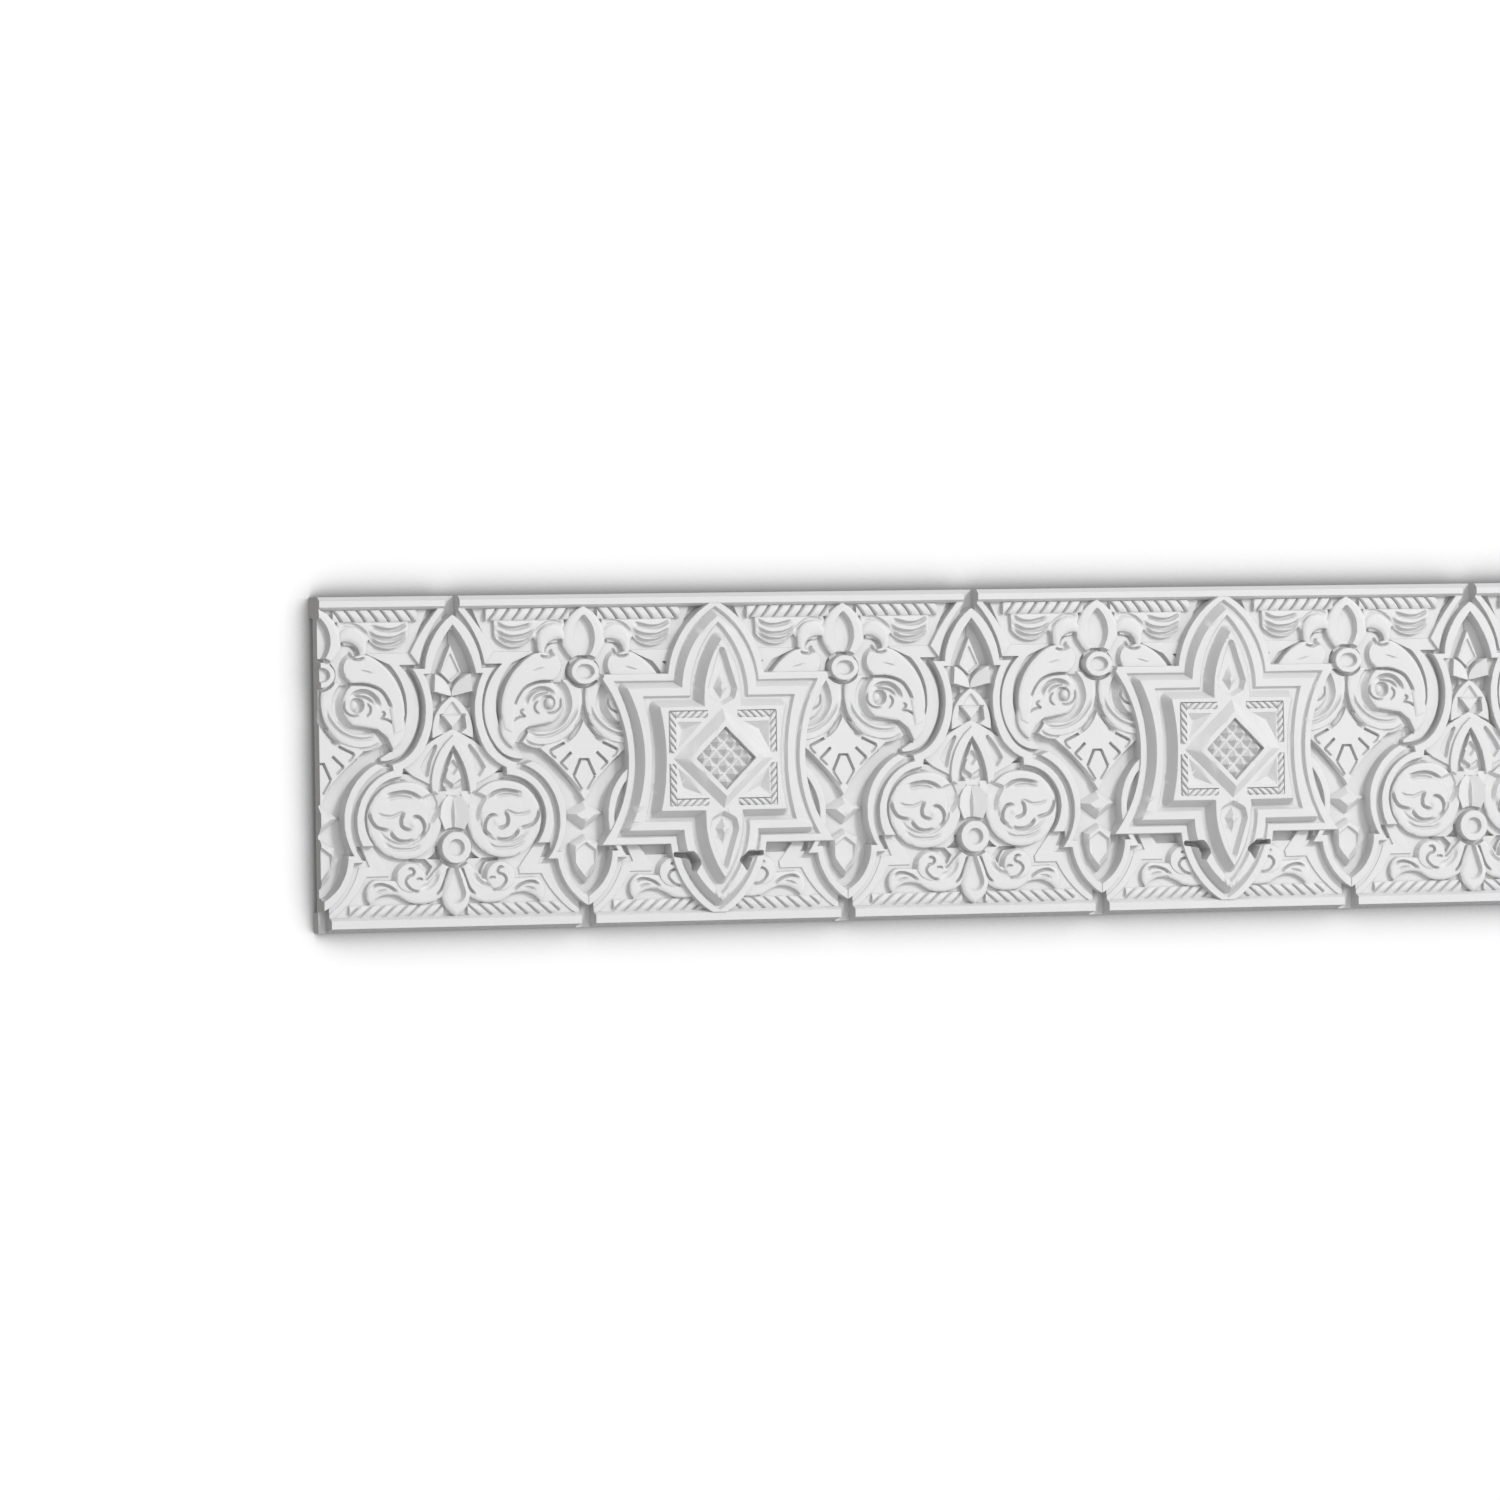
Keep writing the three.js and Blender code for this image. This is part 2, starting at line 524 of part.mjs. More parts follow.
// The solid's mesh as a three.js geometry
function toGeometry(solid) {
  const { vertProperties, triVerts } = solid.getMesh();
  const geometry = new THREE.BufferGeometry();
  geometry.setAttribute('position', new THREE.BufferAttribute(vertProperties, 3));
  geometry.setIndex(new THREE.BufferAttribute(triVerts, 1));
  geometry.computeVertexNormals();
  return geometry;
}

const primedWhite = new THREE.MeshStandardMaterial({ color: 0xe9e8e4, roughness: 0.8, metalness: 0 });
const mesh = new THREE.Mesh(toGeometry(moulding()), primedWhite);
mesh.name = 'moulding';

const group = new THREE.Group();
group.add(mesh);

export default group;
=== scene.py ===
"""Carved frieze moulding: the finished relief as one mesh, its primed surface, and a plain studio.

The drawing is in millimetres. Across is measured from a boss axis, up from the lower edge. Levels are
measured from the face of the rails, towards the viewer.
"""

import math

import bmesh
import bpy
import numpy as np
from bpy.props import FloatProperty, FloatVectorProperty, IntProperty, PointerProperty
from mathutils import Matrix, Vector


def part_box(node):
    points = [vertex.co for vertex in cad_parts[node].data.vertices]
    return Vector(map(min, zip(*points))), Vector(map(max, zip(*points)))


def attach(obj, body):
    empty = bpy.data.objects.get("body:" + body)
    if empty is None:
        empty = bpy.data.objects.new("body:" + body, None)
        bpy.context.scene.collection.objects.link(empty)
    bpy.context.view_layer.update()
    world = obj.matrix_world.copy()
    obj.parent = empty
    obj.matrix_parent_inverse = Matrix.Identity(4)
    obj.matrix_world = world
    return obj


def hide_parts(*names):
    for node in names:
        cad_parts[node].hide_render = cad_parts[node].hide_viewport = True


bl_info = {
    "name": "Carved frieze moulding",
    "version": (1, 0, 0),
    "blender": (4, 5, 0),
    "location": "3D View > Sidebar > Frieze",
    "description": "Makes the finished relief of a carved frieze moulding and the studio it stands in",
    "category": "Add Mesh",
}

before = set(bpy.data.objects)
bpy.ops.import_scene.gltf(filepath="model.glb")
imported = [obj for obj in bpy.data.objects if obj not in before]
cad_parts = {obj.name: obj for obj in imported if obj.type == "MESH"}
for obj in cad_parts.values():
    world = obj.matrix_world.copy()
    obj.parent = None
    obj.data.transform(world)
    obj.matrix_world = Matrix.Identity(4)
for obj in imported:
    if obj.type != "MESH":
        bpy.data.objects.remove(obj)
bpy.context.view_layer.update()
LOW, HIGH = (np.array(corner) * 1000 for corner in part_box("moulding"))

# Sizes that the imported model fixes, and where its pattern stands
REPEATS = 3
LENGTH = HIGH[0] - LOW[0]
HEIGHT = HIGH[2] - LOW[2]
QUARTER = LENGTH / REPEATS / 4
RAIL = 17.0
STRIP = 12.0
CHANNEL = 5.5
MM = 0.001
# How far the painted shade in hollows looks for nearby surfaces
PAINTED_SHADE_REACH = 0.012

# The board's section: rails, their bevels and slopes, the slots and the ground
TOP_RAIL = 6.0
BOTTOM_RAIL = 7.0
RAIL_SLOPE = 1.6
RAIL_SLOPE_DEPTH = 2.6
BEVEL_HEIGHT = 2.35
BEVEL_DEPTH = 3.0
FOOT_BEVEL_DEPTH = 12.0
SLOT_HALF = 4.5
SLOT_DEPTH = 10.0
SLOT_HEAD = 185.3
SLOT_HEAD_SLOPE = 0.72
SLOT_FOOT = 12.7
SLOT_FOOT_SLOPE = 0.6
GROUND = -8.0
PANEL_GROUND = -8.8
STRIP_GROUND = -4.8

# A groove narrower than the first is no deeper than the second
NARROW = 5.0
NARROW_DEPTH = 3.6

# A wall between two levels rises this many times as far as it goes in
WALL = 11.0
SHARP_ANGLE = math.radians(34)

# Levels of the carving
BAND = 0.0
ARCH_BAND = -2.0
LOW_BAND = -3.8
LEAF = -0.8
INNER_LEAF = -1.6
LOW_LEAF = -2.6
FAN = -3.6
AXIS = QUARTER


# Outlines and curves

def through(start, middle, end, gap=0.04):
    """The circular arc from start through middle to end, without its start: equal steps of angle about the
    centre of the circle that passes through the three places."""
    (ax, az), (mx, mz), (bx, bz) = start, middle, end
    twice = 2 * ((mx - ax) * (bz - az) - (bx - ax) * (mz - az))
    first = (mx - ax) ** 2 + (mz - az) ** 2
    second = (bx - ax) ** 2 + (bz - az) ** 2
    cx = ax + ((bz - az) * first - (mz - az) * second) / twice
    cz = az + ((mx - ax) * second - (bx - ax) * first) / twice
    radius = math.hypot(ax - cx, az - cz)
    turn = 1 if twice > 0 else -1
    start_angle = math.atan2(az - cz, ax - cx)
    sweep = (turn * (math.atan2(bz - cz, bx - cx) - start_angle)) % (2 * math.pi)
    count = max(2, math.ceil(sweep / (2 * math.acos(1 - gap / radius))))
    angle = start_angle + turn * np.linspace(0, sweep, count + 1)[1:]
    return np.stack([cx + radius * np.cos(angle), cz + radius * np.sin(angle)], 1)


def outline(marks):
    """A closed outline: straight between corners, and an arc wherever a middle place, in brackets of its
    own, stands between two of them."""
    closed = list(marks) + [marks[0]]
    points = [np.array([marks[0]], float)]
    i = 1
    while i < len(closed):
        if len(closed[i]) == 2:
            points.append(np.array([closed[i]], float))
            i += 1
        else:
            points.append(through(closed[i - 1], closed[i][0], closed[i + 1]))
            i += 2
    return np.concatenate(points)[:-1]


def flowing(places, per_span=6):
    """A smooth open curve through the places: on each span the cubic whose slopes at its ends are half the
    step between the neighbours on either side."""
    p = np.array(places, float)
    padded = np.concatenate([[2 * p[0] - p[1]], p, [2 * p[-1] - p[-2]]])
    t = np.linspace(0, 1, per_span, endpoint=False)[:, None, None]
    a, b, c, d = padded[:-3], padded[1:-2], padded[2:-1], padded[3:]
    bend = (2 * a - 5 * b + 4 * c - d) * t ** 2 + (3 * b - a - 3 * c + d) * t ** 3
    curve = 0.5 * (2 * b + (c - a) * t + bend)
    return np.concatenate([curve.transpose(1, 0, 2).reshape(-1, 2), p[-1:]])


def ring(centre, half_width, half_height, count=48):
    """An ellipse as a closed outline: the centre plus each half size times an angle's cosine and sine."""
    angle = 2 * np.pi * np.arange(count) / count
    return np.stack([centre[0] + half_width * np.cos(angle), centre[1] + half_height * np.sin(angle)], 1)


# Sections of the carving, as functions of the distance in from an edge

def smooth(share):
    """Zero below 0, one above 1, and three squares less two cubes between."""
    s = np.clip(share, 0, 1)
    return s * s * (3 - 2 * s)


def flat_top(depth_in, top, edge=0.5, wall=WALL):
    """A level top with a quarter round of the edge's radius, and a wall that falls wall times as far as it
    goes out."""
    s = np.clip(depth_in / edge, 0, 1)
    return np.where(depth_in > 0, top - edge * (1 - np.sqrt(1 - (1 - s) ** 2)),
                    top - edge + wall * depth_in)


def leaf_top(depth_in, top, swell=1.2, reach=3.5):
    """A top that falls off by the swell towards its edge, as the square of what is left of the reach."""
    s = np.clip(depth_in / reach, 0, 1)
    return flat_top(depth_in, top, 0.35) - swell * (1 - s) ** 2


def dish_top(depth_in, top, rim, dish, reach):
    """A level rim, and inside it a dish that sinks smoothly over the reach."""
    return flat_top(depth_in, top, 0.5) - dish * smooth((depth_in - rim) / reach)


def hip_top(depth_in, top, foot, slope):
    """A roof that rises with the distance in from its foot, at the slope, up to the top."""
    return np.where(depth_in > 0, np.minimum(foot + slope * depth_in, top), foot + WALL * depth_in)


class Relief:
    """Levels on a grid over one quarter of a repeat, from a boss axis to the next motif's axis."""

    def __init__(self, step, ground):
        columns = int(round(QUARTER / step))
        rows = int(round(HEIGHT / step))
        self.b = np.linspace(0, QUARTER, columns + 1)
        self.z = np.linspace(0, HEIGHT, rows + 1)
        self.across, self.up = np.meshgrid(self.b, self.z)
        self.level = np.full(self.across.shape, float(ground))

    def window(self, points, reach):
        """The part of the grid within reach of the points."""
        low, high = points.min(0) - reach, points.max(0) + reach
        columns = slice(*np.searchsorted(self.b, [low[0], high[0]]))
        rows = slice(*np.searchsorted(self.z, [low[1], high[1]]))
        return rows, columns

    def depth_in(self, points, reach=1.5):
        """The window round an outline and each place's distance to it, positive inside: the least distance
        to any edge, and inside where a line to the left crosses the outline an odd number of times. The
        outline is given as its places or as the list of its marks."""
        points = outline(points) if isinstance(points, list) else points
        at = self.window(points, reach)
        x, z = self.across[at], self.up[at]
        nearest = np.full(x.shape, np.inf)
        inside = np.zeros(x.shape, bool)
        for (x0, z0), (x1, z1) in zip(points, np.roll(points, -1, 0)):
            dx, dz = x1 - x0, z1 - z0
            t = np.clip(((x - x0) * dx + (z - z0) * dz) / max(dx * dx + dz * dz, 1e-12), 0, 1)
            nearest = np.minimum(nearest, (x - x0 - t * dx) ** 2 + (z - z0 - t * dz) ** 2)
            if dz:
                inside ^= ((z0 > z) != (z1 > z)) & (x < dx * (z - z0) / dz + x0)
        return at, np.where(inside, 1, -1) * np.sqrt(nearest)

    def add(self, points, section, *sizes, tilt=None):
        """Raises the ground to a section's level wherever that is higher. A tilt lowers or lifts the form
        by its slopes across and up, measured from a place."""
        at, depth = self.depth_in(points, 1.5)
        if depth.size:
            level = section(depth, *sizes)
            if tilt:
                (x, z), (slope_x, slope_z) = tilt
                level = level + slope_x * (self.across[at] - x) + slope_z * (self.up[at] - z)
            self.level[at] = np.maximum(self.level[at], level)

    def sink(self, points, floor, wall=5.0, edge=0.0):
        """Cuts a recess down to a floor, with walls that rise wall times as far as they go out."""
        at, depth = self.depth_in(points, 4.0)
        if depth.size:
            self.level[at] = np.minimum(self.level[at],
                                        floor - edge * smooth(depth / 3) - wall * np.minimum(depth, 0))

    def pit(self, points, slope, most):
        """Lowers what is inside an outline by the slope times the distance in from its edge, at most by a
        set fall."""
        at, depth = self.depth_in(points, 0.5)
        if depth.size:
            self.level[at] -= np.clip(slope * depth, 0, most)

    def crease(self, curve, fall, half, taper=0.2, floor=-8.6):
        """A groove along a curve: the fall times one less the square of the distance over half the width,
        and it fades out over the taper's share of the curve at both ends."""
        curve = flowing(curve) if isinstance(curve, list) else curve
        at = self.window(curve, half)
        x, z = self.across[at], self.up[at]
        if not x.size:
            return
        spans = np.hypot(*np.diff(curve, axis=0).T)
        run = np.concatenate([[0], np.cumsum(spans)]) / spans.sum()
        deepest = np.zeros(x.shape)
        for (x0, z0), (x1, z1), r0, r1 in zip(curve[:-1], curve[1:], run[:-1], run[1:]):
            dx, dz = x1 - x0, z1 - z0
            t = np.clip(((x - x0) * dx + (z - z0) * dz) / max(dx * dx + dz * dz, 1e-12), 0, 1)
            share = np.hypot(x - x0 - t * dx, z - z0 - t * dz) / half
            r = r0 + t * (r1 - r0)
            ends = smooth(np.minimum(r, 1 - r) / taper) if taper else 1
            deepest = np.maximum(deepest, fall * ends * np.clip(1 - share ** 2, 0, 1))
        level = self.level[at]
        self.level[at] = np.where(level > floor, np.maximum(level - deepest, np.minimum(level, floor)),
                                  level)


# The forms that every quarter has beside the boss axis

ROPE_PITCH = 7.5
ROPE_GAP = 3.6


def carve_rope(relief, span, rows, top, lean, start):
    """A rope border: a low round bar with slanting ribs. Its level falls with the sixth power of how far
    each place is from the middle of its rib, and with the square of how far it is from the bar's axis."""
    (left, right), (low, high) = span, rows
    at = relief.window(np.array([[left, low], [right, high]]), 0)
    x, z = relief.across[at], relief.up[at]
    phase = ((x - start - lean * (z - low)) / ROPE_PITCH) % 1
    rib = np.abs(2 * phase - 1) ** 6
    body = ((2 * z - low - high) / (high - low)) ** 2
    relief.level[at] = np.maximum(relief.level[at], top - ROPE_GAP * rib - body)


BOSS_BAND = [[0, 12.7], [[11.6, 22.8]], [19.3, 40.8], [25.5, 40.8], [[17.4, 66]], [39.6, 96.4], [34, 98.4],
             [[13.3, 66]], [19.3, 44.8], [15.4, 44.8], [[12.2, 31]], [0, 18.6]]
LOBE_RING = [[31, 162.8], [57, 162.8], [62.7, 155.8], [51, 155.8], [[62.8, 130.5]], [52, 103.8],
             [[46, 100.8]], [38.4, 99.7], [38, 101.5], [44.2, 105.2], [[55.2, 130.5]], [44.6, 156.2],
             [31, 162]]
UPPER_SCROLL = [[31, 161.5], [[46.6, 148.5]], [53, 127], [51.4, 117.5], [46, 115], [43.4, 130.4],
                [[37.2, 141.2]], [20.5, 145.2], [[15.2, 152.5]], [21, 160.4], [26, 162.5]]
UPPER_SLOPE = [[18.6, 163.6], [[12.3, 153.6]], [20, 144.6], [30, 150], [30, 160], [22, 160]]
LIP = [[3, 144], [3, 158], [9, 163.4], [14, 166.8], [19.6, 167.6], [23.6, 165.2], [25.4, 161],
       [20.4, 159.4], [17, 150], [20, 144.4]]
MIDDLE_SCROLL = [[20, 144.4], [[14.2, 132]], [20.6, 121], [34.5, 118.6], [41.5, 113.8], [45.4, 106.3],
                 [[52.6, 114.5]], [51.5, 127], [40, 144], [20, 146]]
MIDDLE_SLOPE = [[20, 145.2], [[10.8, 132.2]], [19.4, 119.4], [34, 118.2], [34, 142]]
LOWER_SCROLL = [[3, 146], [[3.2, 123.5]], [15, 110], [[28, 105.8]], [42, 111.8], [36.5, 117.4], [20, 124],
                [13, 146]]
FLEUR = [[-5, 190], [0, 189], [[9, 182.5]], [13.6, 171.5], [13.6, 166.4], [10, 161], [5.5, 156], [-5, 156]]
CURL = [[12.4, 169.2], [12, 173.6], [[20.4, 178.4]], [29.8, 169.4], [29.4, 163], [25.8, 160.2],
        [24.8, 164.4], [[20.4, 169]]]
TOP_WAVE = [[12, 181], [56.5, 181], [56, 171.6], [[44, 165.2]], [31.5, 171], [29, 166], [16, 168],
            [11, 176]]
FAN_LEAF = [[-5, 122], [0, 122], [10, 116], [28, 105.8], [[13.5, 93]], [0, 74.8], [-5, 74.8]]
UPPER_STRIP = [[-5, 162], [57.4, 162], [70, 190], [-5, 190]]
LOWER_STRIP = [[2, 6], [90, 6], [90, 42], [24, 42], [14, 20]]
FOOT_BAND = [[24.8, 50.3], [30.2, 38.2], [23.4, 38.2], [[16.5, 23]], [4.5, 11.3], [4.5, 7], [[18, 17.8]],
             [28.3, 32.3], [42, 32.3], [42.8, 36], [32, 50.3]]
FOOT_WEDGE = [[55.4, 42], [65.2, 41.8], [69.6, 37.6], [66.4, 32.8], [65.6, 36.4], [63.4, 40], [55.4, 41.2]]
FOOT_WAVE = [[29.8, 16.3], [[27, 23.5]], [33, 30.6], [50, 29.5], [66, 30], [76.5, 41], [80, 38],
             [75, 20.3], [[62, 15.8]], [50, 19.2], [[41, 21.8]]]


def carve_scrolls(relief):
    """The three scroll leaves of the upper lobe and the ring round them."""
    relief.add(LOBE_RING, flat_top, LOW_BAND, 0.3)
    relief.add(LOWER_SCROLL, leaf_top, LOW_LEAF, 0.5, 2.5)
    for places in ([(3.6, 132), (6, 125), (12, 118), (20, 113.8), (29, 112.8), (37, 115)],
                   [(9.5, 126), (14, 120.5), (20, 117.4), (28, 116.6), (35, 117.4)],
                   [(14, 109.8), (19, 108), (26, 107), (33, 108), (39, 111.6)]):
        relief.crease(places, 1.7, 1.2)
    relief.crease([(17, 145), (12.6, 139.6), (10.6, 132), (12.4, 126), (17, 121.6), (23, 120), (30, 119.2),
                   (37, 117.4)], 3.4, 3.2, 0.06)
    relief.add(MIDDLE_SLOPE, hip_top, INNER_LEAF - 0.2, -6.4, 1.3)
    relief.add(MIDDLE_SCROLL, leaf_top, INNER_LEAF, 0.6, 2)
    relief.sink([[35.5, 117.8], [41.2, 113.4], [45.2, 105.6], [42.6, 106.6], [39.2, 111.2], [36, 115.6]],
                -7.4, 6)
    relief.crease([(19, 137), (22.4, 139.8), (27.6, 140.8), (32.6, 139), (36, 135.4), (37.2, 131)], 3.2,
                  1.5)
    relief.crease([(20, 137.4), (24, 137.8), (28.4, 137.2), (31.6, 135.6), (33.6, 132.6)], 2.0, 0.9)
    relief.crease([(15.6, 136), (15, 131.6), (17.2, 128), (21, 126.4), (25, 126.8)], 2.0, 0.8)
    relief.crease([(29.4, 133.8), (31.6, 131.2), (31.2, 128.2), (28.6, 125.6)], 2.0, 0.8)
    relief.crease([(38.2, 129), (40.4, 127.8), (39.6, 126), (38.2, 124.8), (42, 124), (45.6, 121.8),
                   (47, 118.4), (46, 115.6)], 2.0, 0.8, 0.1)
    relief.sink(ring((23.2, 132.6), 3.6, 3.8), INNER_LEAF - 3.2, 3, 0.2)
    relief.add(ring((21.4, 132.4), 2.9, 3.2), leaf_top, INNER_LEAF - 0.4, 1.6, 2.6)
    relief.add(LIP, leaf_top, -4.4, 0.5, 2)
    relief.add(UPPER_SLOPE, hip_top, LEAF - 0.2, -6.2, 2.0)
    relief.add(UPPER_SCROLL, leaf_top, LEAF, 0.6, 2)
    relief.crease([(44.6, 130.4), (42.2, 136), (37.6, 141.6), (29, 144.6), (18, 145)], 3.0, 1.0, 0.1)
    relief.crease([(24, 153.6), (29, 152.4), (35, 150.6)], 0.9, 0.5, 0.4)


def carve_fleur(relief):
    """The fleur under the top rail, the curled leaf beside it, the wavy leaf and the upper rope."""
    carve_rope(relief, (9.0, 62.0), (181.2, 188.2), -1.6, -0.77, 14.6)
    relief.add(TOP_WAVE, leaf_top, LOW_LEAF + 0.6, 0.6, 2)
    for places in ([(32, 179), (38, 177.2), (44, 176.2), (50, 177), (56, 180.4)],
                   [(30, 176), (35, 172.8), (41, 171.4), (48, 171.6), (56.6, 175.4)],
                   [(31.4, 172.6), (36, 168.8), (42, 167.6), (49, 168.6), (56, 172.6)]):
        relief.crease(places, 2.6, 1.4, 0.2)
    relief.crease([(12, 178.4), (18, 180), (24, 178.8), (29, 175), (31.6, 171)], 1.8, 1.3, 0.2)
    relief.add(FLEUR, leaf_top, LEAF, 0.8, 3)
    relief.sink([[0, 182.5], [[5.4, 172]], [0, 158.5], [[-5.4, 172]]], LEAF - 3.8, 2.6)
    relief.add(CURL, leaf_top, LEAF + 0.4, 1.0, 3)
    hook = flowing([(12.6, 167.6), (16, 168.8), (20, 168), (23.2, 165.4), (24.4, 161.6)])
    relief.crease(hook, 1.2, 1.2, 0.3)
    relief.crease([(20, 160.2), (24, 159.2), (28.6, 160.6)], 2.4, 0.9, 0.3)
    relief.crease([(19.4, 163.4), (20.6, 161.4), (21.4, 159.8)], 2.0, 1.2, 0.3)


def carve_fan(relief):
    """The fan of flat petals under the scrolls, with the faceted drop, diamond and kite of the boss axis."""
    relief.add(FAN_LEAF, flat_top, FAN, 0.4)
    relief.crease(np.array([[-1, 98.9], [2.6, 98.9]]), 2.6, 0.7, 0)
    relief.crease(np.array([[2.4, 98.9], [6.8, 89.2]]), 3.0, 0.9, 0.05)
    relief.crease([(6.8, 89.2), (4, 85), (1.4, 81)], 1.6, 0.7, 0.1)
    relief.crease(np.array([[8, 103.2], [15, 96.8]]), 3.0, 0.9, 0.05)
    relief.crease([(15, 96.8), (12.6, 94.8), (10.6, 92.8)], 1.6, 0.8, 0.1)
    relief.crease(np.array([[12, 108.8], [21.6, 104.4]]), 3.0, 0.9, 0.05)
    relief.crease([(21.6, 104.4), (20.2, 101.8), (18, 100)], 1.6, 0.8, 0.1)
    relief.crease(np.array([[25, 101.6], [16.6, 95.2], [9, 87.6], [2, 79.4]]), 1.4, 0.7, 0.05)
    relief.add([[-5, 142], [2.4, 142], [3, 122], [-5, 122]], flat_top, -5.2, 0.3)
    relief.crease([(-0.6, 131), (1.4, 123), (4.6, 116.4), (8.6, 112), (12.6, 109.6)], 4.2, 1.7, 0.15)
    relief.add([[-12, 122.5], [0, 122.5], [8.4, 112.4], [[6.6, 106]], [0, 102.6], [-12, 102.6]], leaf_top,
               FAN - 0.2, 2.4, 5.5)
    relief.add([[-13, 67], [0, 74], [13, 67], [0, 57.5]], hip_top, INNER_LEAF, -7.0, 1.2)
    relief.sink([[-7.8, 66.6], [0, 71.3], [7.8, 66.6], [0, 61.6]], INNER_LEAF - 0.9, 0.9)
    relief.add([[-9, 49.5], [0, 54.5], [9, 49.5], [9, 44], [6, 33], [0, 26], [-6, 33], [-9, 44]], hip_top,
               -2.8, -5.4, 1.1)
    relief.sink([[-5.5, 45], [0, 49], [5.5, 45], [5.5, 38], [0, 31], [-5.5, 38]], -4.6, 1.6)


def carve_foot(relief):
    """The wavy leaf with its volute over the lower rope border."""
    relief.add([[4, 8], [[20, 20]], [27, 40], [18, 42], [[13.4, 26]], [2, 13.4]], flat_top, -4.4, 0.3)
    carve_rope(relief, (17.0, 76.0), (8.6, 15.8), -2.6, 1.15, 23.0)
    relief.add(FOOT_WAVE, leaf_top, INNER_LEAF, 0.7, 2.2)
    relief.crease([(30.4, 25.4), (33.6, 27.6), (38, 27.6), (43, 25.8), (47.2, 22.4)], 2.6, 1.0)
    relief.crease([(32, 22), (36, 24), (41, 24.2)], 1.4, 0.9, 0.35)
    relief.add(ring((54.9, 31.4), 11, 10.4), hip_top, LEAF - 0.2, -5.4, 2.0)
    relief.add(ring((55.2, 31.2), 9, 8.7), leaf_top, LEAF, 0.7, 2)
    relief.crease([(52.8, 36), (55.2, 36.8), (57, 35.2), (56.2, 33.2), (53.2, 32), (51.6, 29.4), (53, 26.6),
                   (56, 24.2), (60.4, 23)], 2.2, 0.9, 0.08)
    relief.crease([(58.6, 30.6), (60.8, 30.8), (62.4, 30)], 1.8, 0.8, 0.2)
    relief.crease([(72, 36), (70.4, 30.4), (66.4, 26.6), (61, 25.2)], 2.0, 2.0, 0.3)
    relief.crease([(79.2, 37), (76.6, 29.6), (74.2, 24.4), (71, 21)], 2.8, 0.9, 0.1)


def carve_boss(relief, centre, half_width, half_height, dish):
    """A round boss: a rim with a quarter round at its edge, and a dish inside it."""
    gap = min(half_width, half_height) * (1 - dish)
    relief.sink(ring(centre, half_width + 1.6, half_height + 1.6), -7.5, 5)
    relief.add(ring(centre, half_width, half_height), dish_top, 0.8, gap, 2.6, 1.1)


# The forms that only the ogee panels have

OGEE_BAND = [[90, 190], [AXIS, 185.3], [[70.8, 171.5]], [65.3, 153.5], [57.5, 153.5], [[65.5, 130.5]],
             [56.8, 105], [[50.8, 100.3]], [43.8, 97.8], [44.7, 94.3], [[21.4, 66]], [24.8, 50.3],
             [32, 50.3], [[26.2, 66]], [50.5, 90.6], [50.8, 95.2], [[57.8, 99.2]], [63.5, 105],
             [[70.2, 130.5]], [64.9, 150.4], [69, 150.4], [[73.5, 164]], [AXIS, 179], [90, 183]]
ARCH = [[57, 162.8], [[63.9, 174.5]], [76, 190], [79, 190], [79, 187.6], [[66, 167.5]], [62.7, 155.8]]


